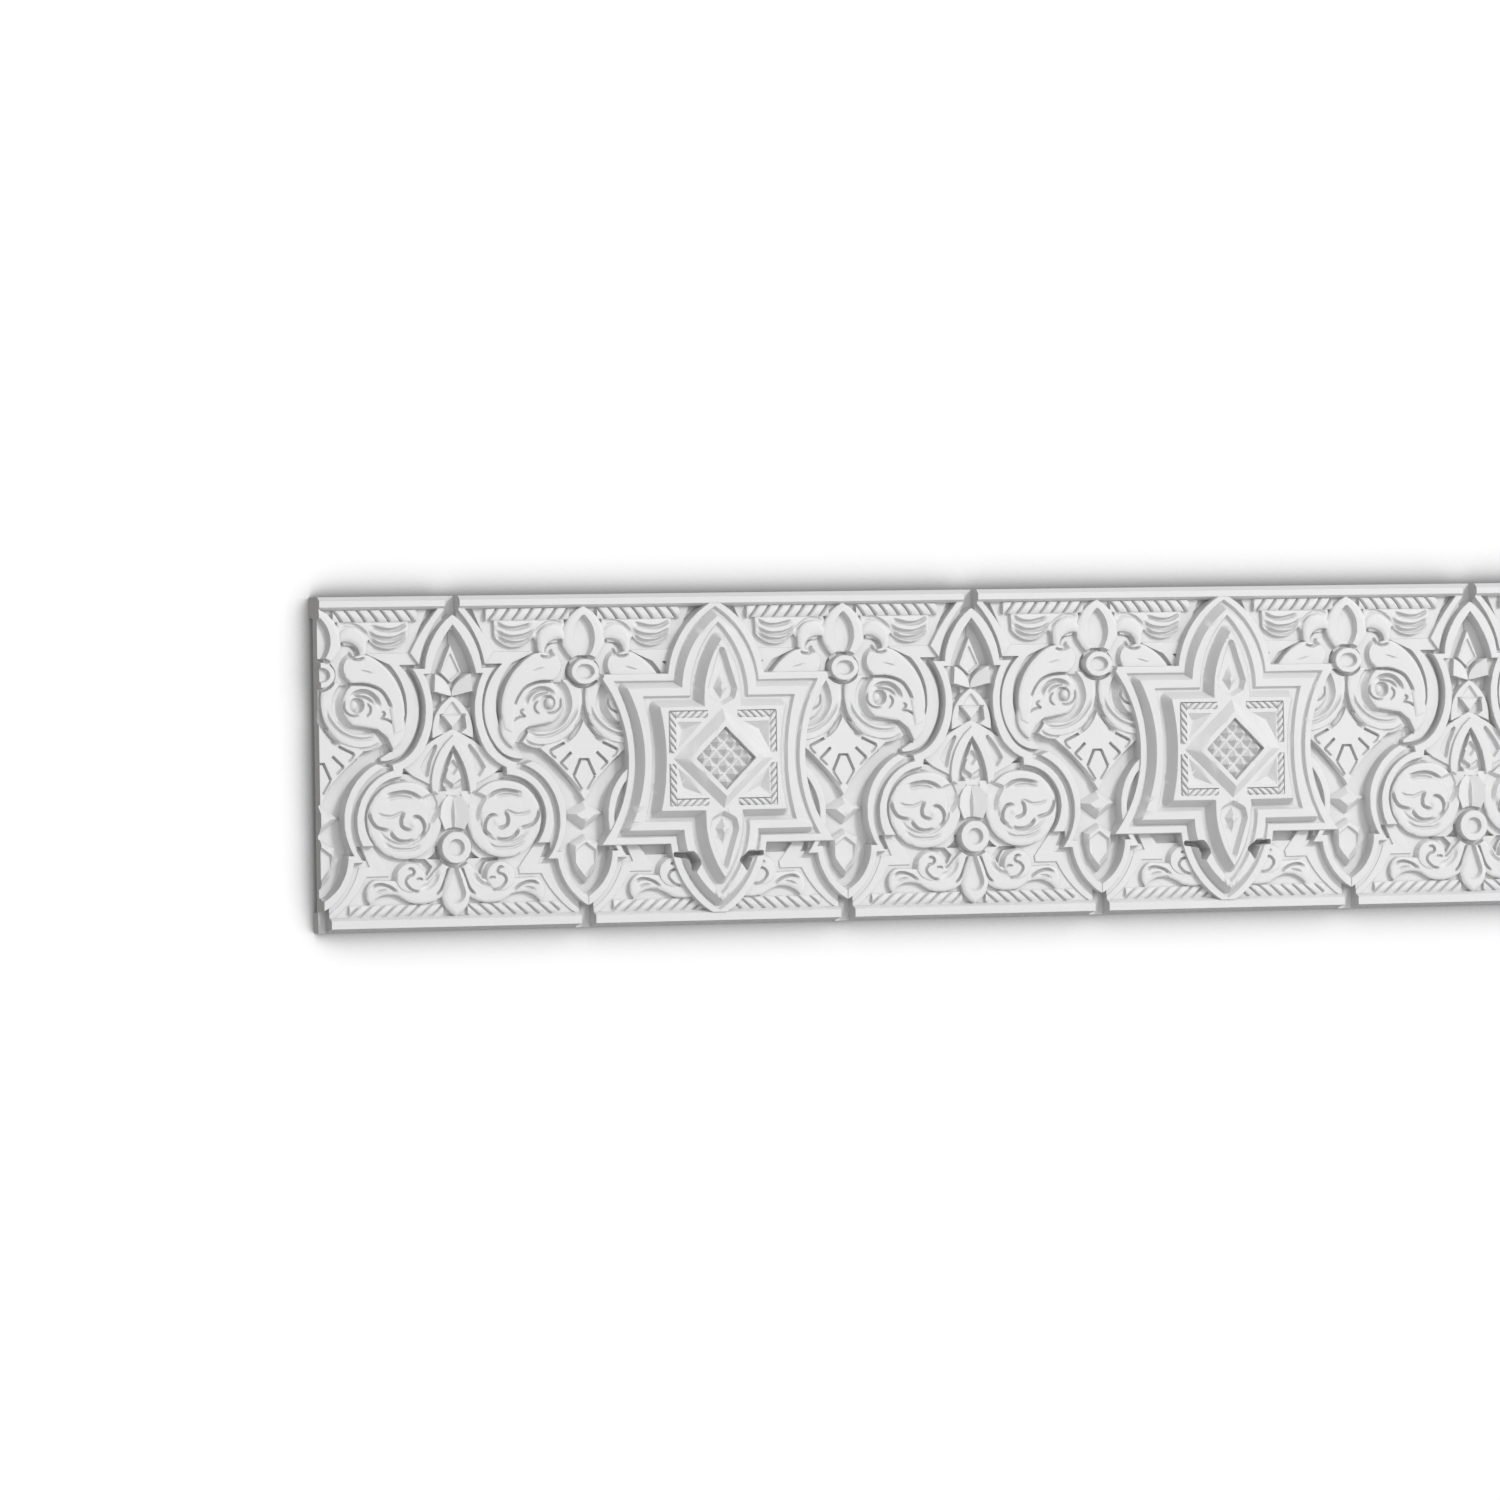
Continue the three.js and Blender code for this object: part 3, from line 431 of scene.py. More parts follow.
def carve_column(relief):
    """What stands on the ogee axis: kite, tulip, small arch, double arch, bud and pendant."""
    relief.add([[AXIS, 167.5], [76.6, 151.2], [AXIS, 145], [90, 151], [88, 158]], flat_top, -4.6, 0.5)
    relief.sink([[AXIS, 161.5], [78.5, 151.4], [AXIS, 147.3], [90, 150]], -5.8, 1.6)
    relief.add([[72, 150.3], [[79.6, 146]], [AXIS, 138.8], [AXIS, 137], [71.2, 140]], flat_top, -0.6, 0.5,
               tilt=((72, 145), (-0.3, 0)))
    relief.add([[90, 137.2], [AXIS, 137.2], [[74.5, 129.5]], [70.5, 112.5], [AXIS, 117.8], [90, 118]],
               flat_top, LOW_LEAF, 0.6)
    relief.sink([[AXIS, 132.8], [79.4, 127.4], [90, 127.4]], LOW_LEAF - 1.6, 1.2)
    relief.crease(np.array([[75.4, 126.2], [90, 126.2]]), 1.1, 0.7, 0)
    relief.sink([[76.4, 125.8], [83, 117.8], [79, 116.4], [75.6, 118.8]], LOW_LEAF - 4, 4)
    shoulder = outline([[90, 121], [AXIS, 118], [[66.5, 108.6]], [52, 95.8], [58.5, 90.5], [72, 84],
                        [AXIS, 112]])
    relief.add(shoulder, flat_top, -3.2, 0.5)
    relief.sink([[72.6, 108], [[67, 101]], [63.8, 95.4], [66.8, 91], [68.6, 99]], -5.8, 2.2)
    relief.add([[90, 116], [AXIS, 114.3], [[72.5, 101]], [69.5, 81], [73.5, 80], [[76.8, 96.5]],
                [AXIS, 108.3], [90, 112]], flat_top, INNER_LEAF, 0.6)
    relief.add([[90, 106], [AXIS, 104.3], [[80, 95]], [77.4, 86], [79.2, 79], [90, 79]], flat_top, LOW_LEAF,
               0.5)
    relief.sink([[AXIS, 99], [80.8, 95.4], [AXIS, 92], [90, 95]], LOW_LEAF - 2, 1.8)
    relief.sink([[77.6, 88], [81.8, 85.6], [82.8, 83.6], [78, 85]], LOW_LEAF - 2.6, 2.2)
    relief.add([[90, 82], [AXIS, 81], [[75.4, 74.5]], [73.6, 66.5], [77.5, 58], [90, 54]], flat_top, -0.4,
               0.5, tilt=((73.6, 66), (-0.34, 0)))
    relief.add([[AXIS, 78], [81.2, 70], [82, 59], [90, 57], [90, 76]], hip_top, -1.2, -3.6, 1.3)
    relief.add([[62, 76], [70, 81.5], [80, 82], [77, 73.5], [72, 69], [67, 66]], flat_top, -3.4, 1.2,
               tilt=((72, 76), (0.16, 0.05)))
    pendant = outline([[90, 44], [AXIS, 42], [80, 37], [[76.3, 28.5]], [74.3, 20.5], [[76.5, 14]],
                       [AXIS, 8.3], [90, 10]])
    relief.add(pendant, leaf_top, LEAF, 1.2, 3)
    relief.sink([[AXIS, 36.8], [79.2, 24], [[79.6, 19.2]], [AXIS, 17.2], [90, 20]], LEAF - 2.8, 1.9)


def carve_palmette(relief):
    """The palmette of the lower lobe: three leaves that turn about a round eye."""
    relief.add(ring((51.8, 65), 28.2, 27.2), flat_top, -4.8, 0.3)
    relief.add(ring((51.8, 65), 23.4, 22.8), leaf_top, INNER_LEAF, 0.6, 2.5)
    relief.sink([[64.6, 77.2], [[68, 71.4]], [68.8, 64.8], [71.4, 68.4], [72.6, 75], [70.6, 79.8]], -4.4,
                1.4)
    for places in ([(40, 79.4), (46, 81), (52, 81.6), (57, 80.6), (61, 78.4), (63.4, 76.4)],
                   [(29.5, 71), (30.8, 66), (33.4, 62), (37.4, 60.2), (42.6, 59.2)],
                   [(42.6, 59.4), (44.8, 55.6), (48.6, 53.2), (53, 52.6), (58, 53.8)],
                   [(52, 70), (49.8, 66), (50, 62), (52.6, 60), (56.6, 59)],
                   [(56, 66), (59.4, 67.2), (62.6, 65.4), (64.2, 61.6), (63.6, 57.4), (60, 54.6)]):
        relief.crease(places, 3.0, 1.2)
    for places in ([(40, 77), (47, 78.6), (53, 78.6), (58, 77)], [(34.5, 69.6), (38.5, 67.8), (43.5, 67.2),
                                                                  (47.5, 68.6), (52, 70.2)], [(34.5, 60),
                                                                                              (40.5, 54.2),
                                                                                              (47.5, 51),
                                                                                              (54.5, 51),
                                                                                              (61, 54),
                                                                                              (66, 59.6),
                                                                                              (66.8, 65),
                                                                                              (64.6, 69)],
                   [(38, 52.4), (44.5, 48.8), (51, 47.8), (58, 48.4), (63, 51.4)], [(28.6, 76), (33.6, 82),
                                                                                    (40.6, 86), (48.6, 88),
                                                                                    (56, 87.6)]):
        relief.crease(places, 1.4, 1.1)
    relief.add(ring((57, 63), 3.4, 3.4), leaf_top, LEAF, 1.6, 3.4)


# The star: each ring is half width at mid-height, outer corner, where the lobe springs, the height at which
# its arc stands upright, and the lobe's point
STAR_CENTRE = 98.2
STEP_SLOPE = 1.7
LIP_DEPTH = 2.2
LIP_WIDTH = 1.3
STEP_LEVEL = 5.0
FIELD_LEVEL = 10.0
DIAMOND_LEVEL = 14.5
CORD_PITCH = 4.6
CORD_TOP = 10.5
CORD_GAP = 2.2
CORD_HALF = 1.9
CORD_CHANNEL_HALF = 2.2
CORD_CHANNEL_LEVEL = 8.6
PYRAMIDS = 4
PYRAMID_FOOT = 11.2
PYRAMID_RISE = 4.0
PYRAMID_GAP = 0.12
STAR_RINGS = {
    "band_outer": (56.8, (74.8, 50.2), 30.8, 45, 93.5),
    "band_inner": (53, (65.8, 46.3), 27.3, 42, 90),
    "step_outer": (47.9, (58.4, 41.8), 23.6, 40, 83.9),
    "step_inner": (43.5, (48.9, 37.2), 18.7, 37, 80.8),
    "field": (36.3, (39.9, 30.5), 11.5, 35, 70.3),
}


def star_ring(name):
    """The right half of a star outline, and its mirror image across the axis: a side that bows out, a
    level shoulder, and a pointed lobe whose arc stands upright at a height of its own."""
    waist, corner, lobe, upright, point = STAR_RINGS[name]
    rise = point - upright
    radius = (rise ** 2 + lobe ** 2) / (2 * lobe)
    middle = upright + rise * 0.55
    bulge = (lobe - radius + math.sqrt(radius ** 2 - (middle - upright) ** 2), middle)
    side = np.concatenate([[(corner[0], -corner[1])], through((corner[0], -corner[1]), (waist, 0), corner)])
    rising = np.concatenate([[(lobe, corner[1])], through((lobe, corner[1]), bulge, (0, point))])
    falling = rising[::-1] * (1, -1)
    half = np.concatenate([falling, side, rising])
    whole = np.concatenate([half, half[1:-1][::-1] * (-1, 1)])
    return from_star(whole)


def from_star(points):
    """A place given from the star's centre, as a place from the boss axis."""
    points = np.asarray(points, float)
    return np.stack([AXIS - points[:, 0], STAR_CENTRE + points[:, 1]], 1)


def carve_star(relief):
    """The stepped star. From the edge of each step a steep slope falls to a narrow channel, whose far side
    is a small lip. On the field lie sunk triangles, ropes, drops and the diamond."""
    relief.add(star_ring("band_outer"), flat_top, 1.0, 0.4)
    for foot, head, low, high in (("band_inner", "step_outer", 1.0, STEP_LEVEL),
                                  ("step_inner", "field", STEP_LEVEL, FIELD_LEVEL)):
        at, outer = relief.depth_in(star_ring(foot), 0)
        inner_at, inner = relief.depth_in(star_ring(head), 12.0)
        wide = np.full(relief.level.shape, -99.0)
        wide[inner_at] = inner
        slope = high + STEP_SLOPE * np.minimum(wide[at], 0)
        lip = low - LIP_DEPTH * np.clip(outer / LIP_WIDTH, 0, 1)
        relief.level[at] = np.where(outer > 0, np.maximum(slope, lip), relief.level[at])
    for mirror in (1, -1):
        relief.pit(from_star([(13, 21.8 * mirror), (29.4, 21.8 * mirror), (29.4, 5 * mirror)]), 0.8, 3.6)
        relief.sink(from_star([(0, 63.5 * mirror), (7.2, 41.5 * mirror), (6, 36.6 * mirror),
                               (0, 33.6 * mirror), (-6, 36.6 * mirror), (-7.2, 41.5 * mirror)]),
                    FIELD_LEVEL - 3.4, 1.5)
        relief.add(from_star([(0, 51.5 * mirror), (4.8, 41.5 * mirror), (0, 34.6 * mirror),
                              (-4.8, 41.5 * mirror)]), hip_top, FIELD_LEVEL, FIELD_LEVEL - 3.6, 1.1)
        carve_cord(relief, (9.5, 26 * mirror), (34.3, 26 * mirror))
        carve_cord(relief, (32.2, 3.2 * mirror), (32.2, 27.6 * mirror))
    relief.add(from_star([(32.5, 0), (0, 30.2), (-32.5, 0), (0, -30.2)]), hip_top, DIAMOND_LEVEL,
               FIELD_LEVEL - 0.3, 0.85)
    relief.add(from_star([(23.9, 0), (0, 23), (-23.9, 0), (0, -23)]), flat_top, DIAMOND_LEVEL, 0.4)
    carve_pyramids(relief)


def carve_pyramids(relief):
    """The diamond's bed of small pyramids: on a grid turned along the diamond's sides, each cell rises from
    its edges to a point in its middle."""
    half_width, half_height = 19.2, 18.9
    bed = from_star([(half_width, 0), (0, half_height), (-half_width, 0), (0, -half_height)])
    at, depth = relief.depth_in(bed, 0.3)
    x = (AXIS - relief.across[at]) / half_width
    z = (relief.up[at] - STAR_CENTRE) / half_height
    first = ((x + z + 1) / 2 * PYRAMIDS) % 1
    second = ((z - x + 1) / 2 * PYRAMIDS) % 1
    edge = np.minimum(np.minimum(first, 1 - first), np.minimum(second, 1 - second))
    rise = PYRAMID_RISE * np.clip((2 * edge - PYRAMID_GAP) / (1 - PYRAMID_GAP), 0, 1)
    relief.level[at] = np.where(depth > 0.15, PYRAMID_FOOT + rise, relief.level[at])


def carve_cord(relief, start, end):
    """A twisted cord with a fine channel along both sides: a bar whose strands lean along it, and whose
    level falls with the fourth power of how far each place is from the middle of its strand."""
    (x0, z0), (x1, z1) = from_star([start, end])
    length = math.hypot(x1 - x0, z1 - z0)
    corners = np.array([[min(x0, x1), min(z0, z1)], [max(x0, x1), max(z0, z1)]])
    at = relief.window(corners, 2.6)
    x, z = relief.across[at], relief.up[at]
    along = ((x - x0) * (x1 - x0) + (z - z0) * (z1 - z0)) / length
    side = ((x - x0) * (z1 - z0) - (z - z0) * (x1 - x0)) / length
    held = (along > 0) & (along < length) & (np.abs(side) < CORD_CHANNEL_HALF)
    gap = np.abs(2 * (((along + 1.1 * side) / CORD_PITCH) % 1) - 1) ** 4
    bar = CORD_TOP - 0.7 * (side / 2) ** 4 - CORD_GAP * gap
    level = np.where(np.abs(side) < CORD_HALF, bar, CORD_CHANNEL_LEVEL)
    relief.level[at] = np.where(held, level, relief.level[at])


# The board round the carving

def carve_board(relief, slot_up):
    """The rails over the carving's edges: level faces, a bevel at the outer edge, a slope at the inner edge
    and a slot on the axis that runs out through one of them."""
    z = relief.up
    bottom = np.where(z < BEVEL_HEIGHT, -FOOT_BEVEL_DEPTH * (1 - z / BEVEL_HEIGHT), BAND)
    over = z - BOTTOM_RAIL
    bottom = np.where(over > 0, -RAIL_SLOPE_DEPTH * over / RAIL_SLOPE, bottom)
    bottom = np.where(over > RAIL_SLOPE, -RAIL_SLOPE_DEPTH - WALL * (over - RAIL_SLOPE), bottom)
    down = HEIGHT - z
    top = np.where(down < BEVEL_HEIGHT, -BEVEL_DEPTH * (1 - down / BEVEL_HEIGHT), BAND)
    over = down - TOP_RAIL
    top = np.where(over > 0, -RAIL_SLOPE_DEPTH * over / RAIL_SLOPE, top)
    top = np.where(over > RAIL_SLOPE, -RAIL_SLOPE_DEPTH - WALL * (over - RAIL_SLOPE), top)
    relief.level = np.where(z < BOTTOM_RAIL, bottom, np.where(down < TOP_RAIL, top, relief.level))
    relief.level = np.maximum(relief.level, np.maximum(bottom, top))
    if slot_up:
        cut = (relief.across > AXIS - SLOT_HALF) & (z > SLOT_HEAD - SLOT_HEAD_SLOPE * (AXIS - relief.across))
        relief.level = np.where(cut, -SLOT_DEPTH, relief.level)
    cut = (relief.across < SLOT_HALF) & (z < SLOT_FOOT + SLOT_FOOT_SLOPE * relief.across)
    relief.level = np.where(cut, -SLOT_DEPTH, relief.level)


def filled(level, reach):
    """The level with every gap narrower than twice the reach filled: the highest level within reach of each
    place, and then the lowest of those within reach."""
    count = range(-reach, reach + 1)
    for pick in (np.maximum, np.minimum):
        for axis in (0, 1):
            padded = np.pad(level, [(reach, reach) if i == axis else (0, 0) for i in (0, 1)], mode="edge")
            size = level.shape[axis]
            shifted = [np.take(padded, range(reach + k, reach + k + size), axis) for k in count]
            level = pick.reduce(shifted)
    return level


def quarter_levels(step, has_star):
    """The levels of one quarter, with a star or an ogee panel beyond it."""
    relief = Relief(step, GROUND)
    if not has_star:
        panel = outline([[AXIS, 185], [[69, 168]], [62, 150], [[68, 130]], [60, 103], [[22, 70]], [28, 50],
                         [45, 40], [60, 42], [AXIS, 42]])
        at, depth = relief.depth_in(panel, 0)
        relief.level[at] = np.where(depth > 0, PANEL_GROUND, relief.level[at])
    for strip in (UPPER_STRIP, LOWER_STRIP):
        relief.add(strip, flat_top, STRIP_GROUND, 0.3)
    carve_scrolls(relief)
    carve_fleur(relief)
    carve_fan(relief)
    relief.add(FOOT_BAND, flat_top, LOW_BAND, 0.5)
    carve_foot(relief)
    relief.add(BOSS_BAND, flat_top, BAND, 0.5)
    if has_star:
        carve_star(relief)
    else:
        relief.add(ARCH, flat_top, ARCH_BAND, 0.5)
        carve_column(relief)
        carve_palmette(relief)
        relief.add(OGEE_BAND, flat_top, BAND, 0.5)
        carve_boss(relief, (AXIS, 48.6), 9.3, 9.3, 0.56)
    carve_boss(relief, (0, 150.5), 8.8, 7.4, 0.62)
    deepest = filled(relief.level, round(NARROW / 2 / step)) - NARROW_DEPTH
    relief.level = np.maximum(relief.level, deepest)
    relief.sink(FOOT_WEDGE, -7.8, 8)
    carve_board(relief, not has_star)
    return relief


# The mesh

def grid_mesh(name, levels, xs, zs):
    """A sheet over a grid: each corner stands at its place and its level, and each cell is one face."""
    rows, columns = levels.shape
    x, z = np.meshgrid(xs, zs)
    places = np.stack([x, -(RAIL + levels), z + LOW[2]], -1).reshape(-1, 3) * MM
    corner = np.arange(rows * columns).reshape(rows, columns)
    faces = np.stack([corner[:-1, :-1], corner[:-1, 1:], corner[1:, 1:], corner[1:, :-1]],
                     -1).reshape(-1, 4)
    mesh = bpy.data.meshes.new(name)
    mesh.vertices.add(len(places))
    mesh.vertices.foreach_set("co", places.ravel())
    mesh.loops.add(faces.size)
    mesh.loops.foreach_set("vertex_index", faces.ravel())
    mesh.polygons.add(len(faces))
    mesh.polygons.foreach_set("loop_start", np.arange(0, faces.size, 4))
    mesh.update(calc_edges=True)
    mesh.validate()
    return mesh


def thinned(mesh, triangles):
    """The same sheet with fewer triangles, kept where it bends most."""
    holder = bpy.data.objects.new("sheet", mesh)
    bpy.context.collection.objects.link(holder)
    thin = holder.modifiers.new("thin", "DECIMATE")
    thin.ratio = triangles / (2 * len(mesh.polygons))
    thin.use_collapse_triangulate = True
    evaluated = holder.evaluated_get(bpy.context.evaluated_depsgraph_get())
    result = bpy.data.meshes.new_from_object(evaluated)
    bpy.data.objects.remove(holder)
    return result


def arrays(mesh):
    """A triangle mesh's places, in millimetres, and its triangles."""
    places = np.empty(3 * len(mesh.vertices))
    mesh.vertices.foreach_get("co", places)
    corners = np.empty(len(mesh.loops), np.int64)
    mesh.loops.foreach_get("vertex_index", corners)
    return places.reshape(-1, 3) / MM, corners.reshape(-1, 3)


def cut_at(places, triangles, x, keep_above):
    """The part of a sheet on one side of an upright plane across it."""
    mesh = bpy.data.meshes.new("cut")
    mesh.from_pydata((places * MM).tolist(), [], triangles.tolist())
    shape = bmesh.new()
    shape.from_mesh(mesh)
    everything = shape.verts[:] + shape.edges[:] + shape.faces[:]
    bmesh.ops.bisect_plane(shape, geom=everything, dist=1e-7, plane_co=(x * MM, 0, 0), plane_no=(1, 0, 0),
                           clear_inner=keep_above, clear_outer=not keep_above)
    bmesh.ops.triangulate(shape, faces=shape.faces[:])
    shape.to_mesh(mesh)
    shape.free()
    result = arrays(mesh)
    bpy.data.meshes.remove(mesh)
    return result


def border_edges(triangles):
    """The edges that only one triangle uses."""
    edges = np.concatenate([triangles[:, [0, 1]], triangles[:, [1, 2]], triangles[:, [2, 0]]])
    pairs, uses = np.unique(np.sort(edges, axis=1), axis=0, return_counts=True)
    return pairs[uses == 1]


def squared(places, triangles, low_x, high_x):
    """The sheet with its border drawn exactly onto its four upright and level planes."""
    border = np.unique(border_edges(triangles))
    result = places.copy()
    for axis, value in ((0, low_x), (0, high_x), (2, LOW[2]), (2, HIGH[2])):
        near = border[np.abs(places[border, axis] - value) < 0.6]
        result[near, axis] = value
    return result


def joined(parts):
    """One mesh of several sheets, with the places that they share made one."""
    places = np.concatenate([p for p, _ in parts])
    starts = np.cumsum([0] + [len(p) for p, _ in parts])[:-1]
    triangles = np.concatenate([t + start for (_, t), start in zip(parts, starts)])
    keys = np.round(places, 3)
    _, first, where = np.unique(keys, axis=0, return_index=True, return_inverse=True)
    triangles = where.reshape(-1)[triangles]
    whole = (triangles != np.roll(triangles, 1, axis=1)).all(1)
    return places[first], triangles[whole]


def border_along(places, triangles, axis, value):
    """The corners of the border that lie in one plane, in order along it."""
    border = border_edges(triangles)
    on_plane = np.abs(places[border][:, :, axis] - value).max(1) < 1e-3
    corners = np.unique(border[on_plane])
    return corners[np.argsort(places[corners, 2 - axis])]


def closed_faces(places, triangles):
    """The flat faces that close the sheet to a solid: both ends, top, bottom, the two strips of the back
    and the channel between them."""
    section = [(0, LOW[2]), (0, LOW[2] + STRIP), (-CHANNEL, LOW[2] + STRIP), (-CHANNEL, HIGH[2] - STRIP),
               (0, HIGH[2] - STRIP), (0, HIGH[2])]
    start = len(places)
    added = [(x, y, z) for x in (LOW[0], HIGH[0]) for y, z in section]
    left = list(range(start, start + 6))
    right = list(range(start + 6, start + 12))
    foot = border_along(places, triangles, 2, LOW[2]).tolist()
    head = border_along(places, triangles, 2, HIGH[2]).tolist()
    left_edge = border_along(places, triangles, 0, LOW[0]).tolist()
    right_edge = border_along(places, triangles, 0, HIGH[0]).tolist()
    flat = [
        foot[::-1] + [left[0], right[0]],
        head + [right[5], left[5]],
        left_edge + left[::-1],
        right_edge[::-1] + right,
    ]
    flat += [[left[i], left[i + 1], right[i + 1], right[i]] for i in range(5)]
    return np.array(added), flat


def laid(piece, start, mirrored):
    """A sheet moved along, or mirrored about its own middle first, with its triangles turned to match."""
    places, triangles = piece
    moved = places.copy()
    moved[:, 0] = start + (2 * QUARTER - places[:, 0] if mirrored else places[:, 0])
    return moved, triangles[:, ::-1] if mirrored else triangles


def moulding_mesh(sizes):
    """The whole moulding: one half of a repeat, from a star's axis to an ogee's, is thinned and then laid
    down along the length, every second time mirrored, with the two end halves cut on the boss axis."""
    star = quarter_levels(sizes.grid, True)
    panel = quarter_levels(sizes.grid, False)
    levels = np.concatenate([star.level[:, ::-1], panel.level[:, 1:]], axis=1)
    xs = np.concatenate([AXIS - star.b[::-1], AXIS + panel.b[1:]])
    half = thinned(grid_mesh("half repeat", levels, xs, star.z), sizes.triangles // (2 * REPEATS))
    places, triangles = arrays(half)
    whole = squared(places, triangles, 0, 2 * QUARTER), triangles
    star_part = cut_at(*whole, QUARTER, False)
    panel_part = cut_at(*whole, QUARTER, True)
    pieces = [panel_part] + [whole] * (2 * REPEATS - 1) + [star_part]
    starts = LOW[0] - QUARTER + 2 * QUARTER * np.arange(len(pieces))
    rows = enumerate(zip(pieces, starts))
    places, triangles = joined([laid(piece, start, i % 2 == 1) for i, (piece, start) in rows])
    added, flat = closed_faces(places, triangles)
    mesh = bpy.data.meshes.new("moulding")
    corners = np.concatenate([places, added]) * MM
    mesh.from_pydata(corners.tolist(), [], triangles.tolist() + flat)
    front = len(triangles)
    finish_faces(mesh, front)
    return mesh


def finish_faces(mesh, front):
    """Triangles throughout, all faces outward, the carved front smooth but sharp where it bends by more
    than the angle, and the sawn faces flat and in the second material."""
    carved = np.arange(len(mesh.polygons)) < front
    mesh.polygons.foreach_set("use_smooth", carved)
    mesh.polygons.foreach_set("material_index", np.where(carved, 0, 1))
    shape = bmesh.new()
    shape.from_mesh(mesh)
    bmesh.ops.triangulate(shape, faces=[face for face in shape.faces if len(face.verts) > 3])
    bmesh.ops.recalc_face_normals(shape, faces=shape.faces[:])
    shape.to_mesh(mesh)
    shape.free()
    mesh.set_sharp_from_angle(angle=SHARP_ANGLE)


# Materials

def socket(group, name, way, kind, value=None):
    """A named input or output on a node group."""
    made = group.interface.new_socket(name=name, in_out=way, socket_type=kind)
    if value is not None:
        made.default_value = value
    return made


def placed(tree, kind, inputs=(), **settings):
    """A node with its settings. Each of its inputs is given as a name or number and either a value or the
    output that feeds it."""
    node = tree.nodes.new(kind)
    for name, value in settings.items():
        setattr(node, name, value)
    for name, value in inputs:
        if isinstance(value, bpy.types.NodeSocket):
            tree.links.new(value, node.inputs[name])
        else:
            node.inputs[name].default_value = value
    return node


def primer_group():
    """Primer over cast foam: a height from fine orange peel and soft waves, and a colour that shifts a
    little from patch to patch. The colour also carries painted shade: it is darker in hollows, where less of
    the space near by is open."""
    group = bpy.data.node_groups.new("primer grain and painted shade", "ShaderNodeTree")
    socket(group, "Colour", "INPUT", "NodeSocketColor", (0.8, 0.8, 0.8, 1))
    socket(group, "Shade", "INPUT", "NodeSocketFloat", 0.03)
    socket(group, "Peel size", "INPUT", "NodeSocketFloat", 700.0)
    socket(group, "Painted hollow shade", "INPUT", "NodeSocketFloat", 0.3)
    socket(group, "Colour", "OUTPUT", "NodeSocketColor")
    socket(group, "Height", "OUTPUT", "NodeSocketFloat")
    given = placed(group, "NodeGroupInput").outputs
    place = ("Vector", placed(group, "ShaderNodeTexCoord").outputs["Object"])
    peel = placed(group, "ShaderNodeTexNoise", [place, ("Scale", given["Peel size"]), ("Detail", 3)])
    waves = placed(group, "ShaderNodeTexNoise", [place, ("Scale", 90), ("Detail", 2)])
    patches = placed(group, "ShaderNodeTexNoise", [place, ("Scale", 22), ("Detail", 4)])
    height = placed(group, "ShaderNodeMath", [(0, waves.outputs["Fac"]), (1, 0.5),
                                              (2, peel.outputs["Fac"])], operation="MULTIPLY_ADD")
    change = placed(group, "ShaderNodeMath", [(0, patches.outputs["Fac"]), (1, 0.5)], operation="SUBTRACT")
    patchy = placed(group, "ShaderNodeMath", [(0, change.outputs[0]), (1, given["Shade"]), (2, 1.0)],
                    operation="MULTIPLY_ADD")
    # Painted shade: the colour is made darker where nearby surfaces close in, as if shade fell in the
    # hollows
    openness = placed(group, "ShaderNodeAmbientOcclusion", [("Distance", PAINTED_SHADE_REACH)])
    closed = placed(group, "ShaderNodeMath", [(0, 1.0), (1, openness.outputs["AO"])], operation="SUBTRACT")
    painted_dimming = placed(group, "ShaderNodeMath", [(0, closed.outputs[0]), (1, given["Painted hollow shade"])],
                    operation="MULTIPLY")
    shade = placed(group, "ShaderNodeMath", [(0, patchy.outputs[0]), (1, painted_dimming.outputs[0])],
                   operation="SUBTRACT")
    tint = placed(group, "ShaderNodeVectorMath", [(0, given["Colour"]), ("Scale", shade.outputs[0])],
                  operation="SCALE")
    placed(group, "NodeGroupOutput", [("Colour", tint.outputs[0]), ("Height", height.outputs[0])])
    return group


def primed(name, group, colour, shade, painted_shade, peel_size, rough, bump, depth):
    """A primed surface: the group's colour, with painted shade in hollows by the given amount, and grain,
    with its own roughness and depth of grain.
    """
    material = bpy.data.materials.new(name)
    material.use_nodes = True
    tree = material.node_tree
    shader = tree.nodes["Principled BSDF"]
    shader.inputs["Roughness"].default_value = rough
    shader.inputs["Specular IOR Level"].default_value = 0.35
    grain = placed(tree, "ShaderNodeGroup", node_tree=group)
    values = {"Colour": (*colour, 1), "Shade": shade, "Painted hollow shade": painted_shade, "Peel size": peel_size}
    for socket_name, value in values.items():
        grain.inputs[socket_name].default_value = value
    relief = placed(tree, "ShaderNodeBump", [("Strength", bump), ("Distance", depth),
                                             ("Height", grain.outputs["Height"])])
    tree.links.new(grain.outputs["Colour"], shader.inputs["Base Color"])
    tree.links.new(relief.outputs["Normal"], shader.inputs["Normal"])
    return material


def floor_material(colour):
    """A pale, matt floor."""
    material = bpy.data.materials.new("pale floor")
    material.use_nodes = True
    shader = material.node_tree.nodes["Principled BSDF"]
    shader.inputs["Base Color"].default_value = (*colour, 1)
    shader.inputs["Roughness"].default_value = 0.9
    return material


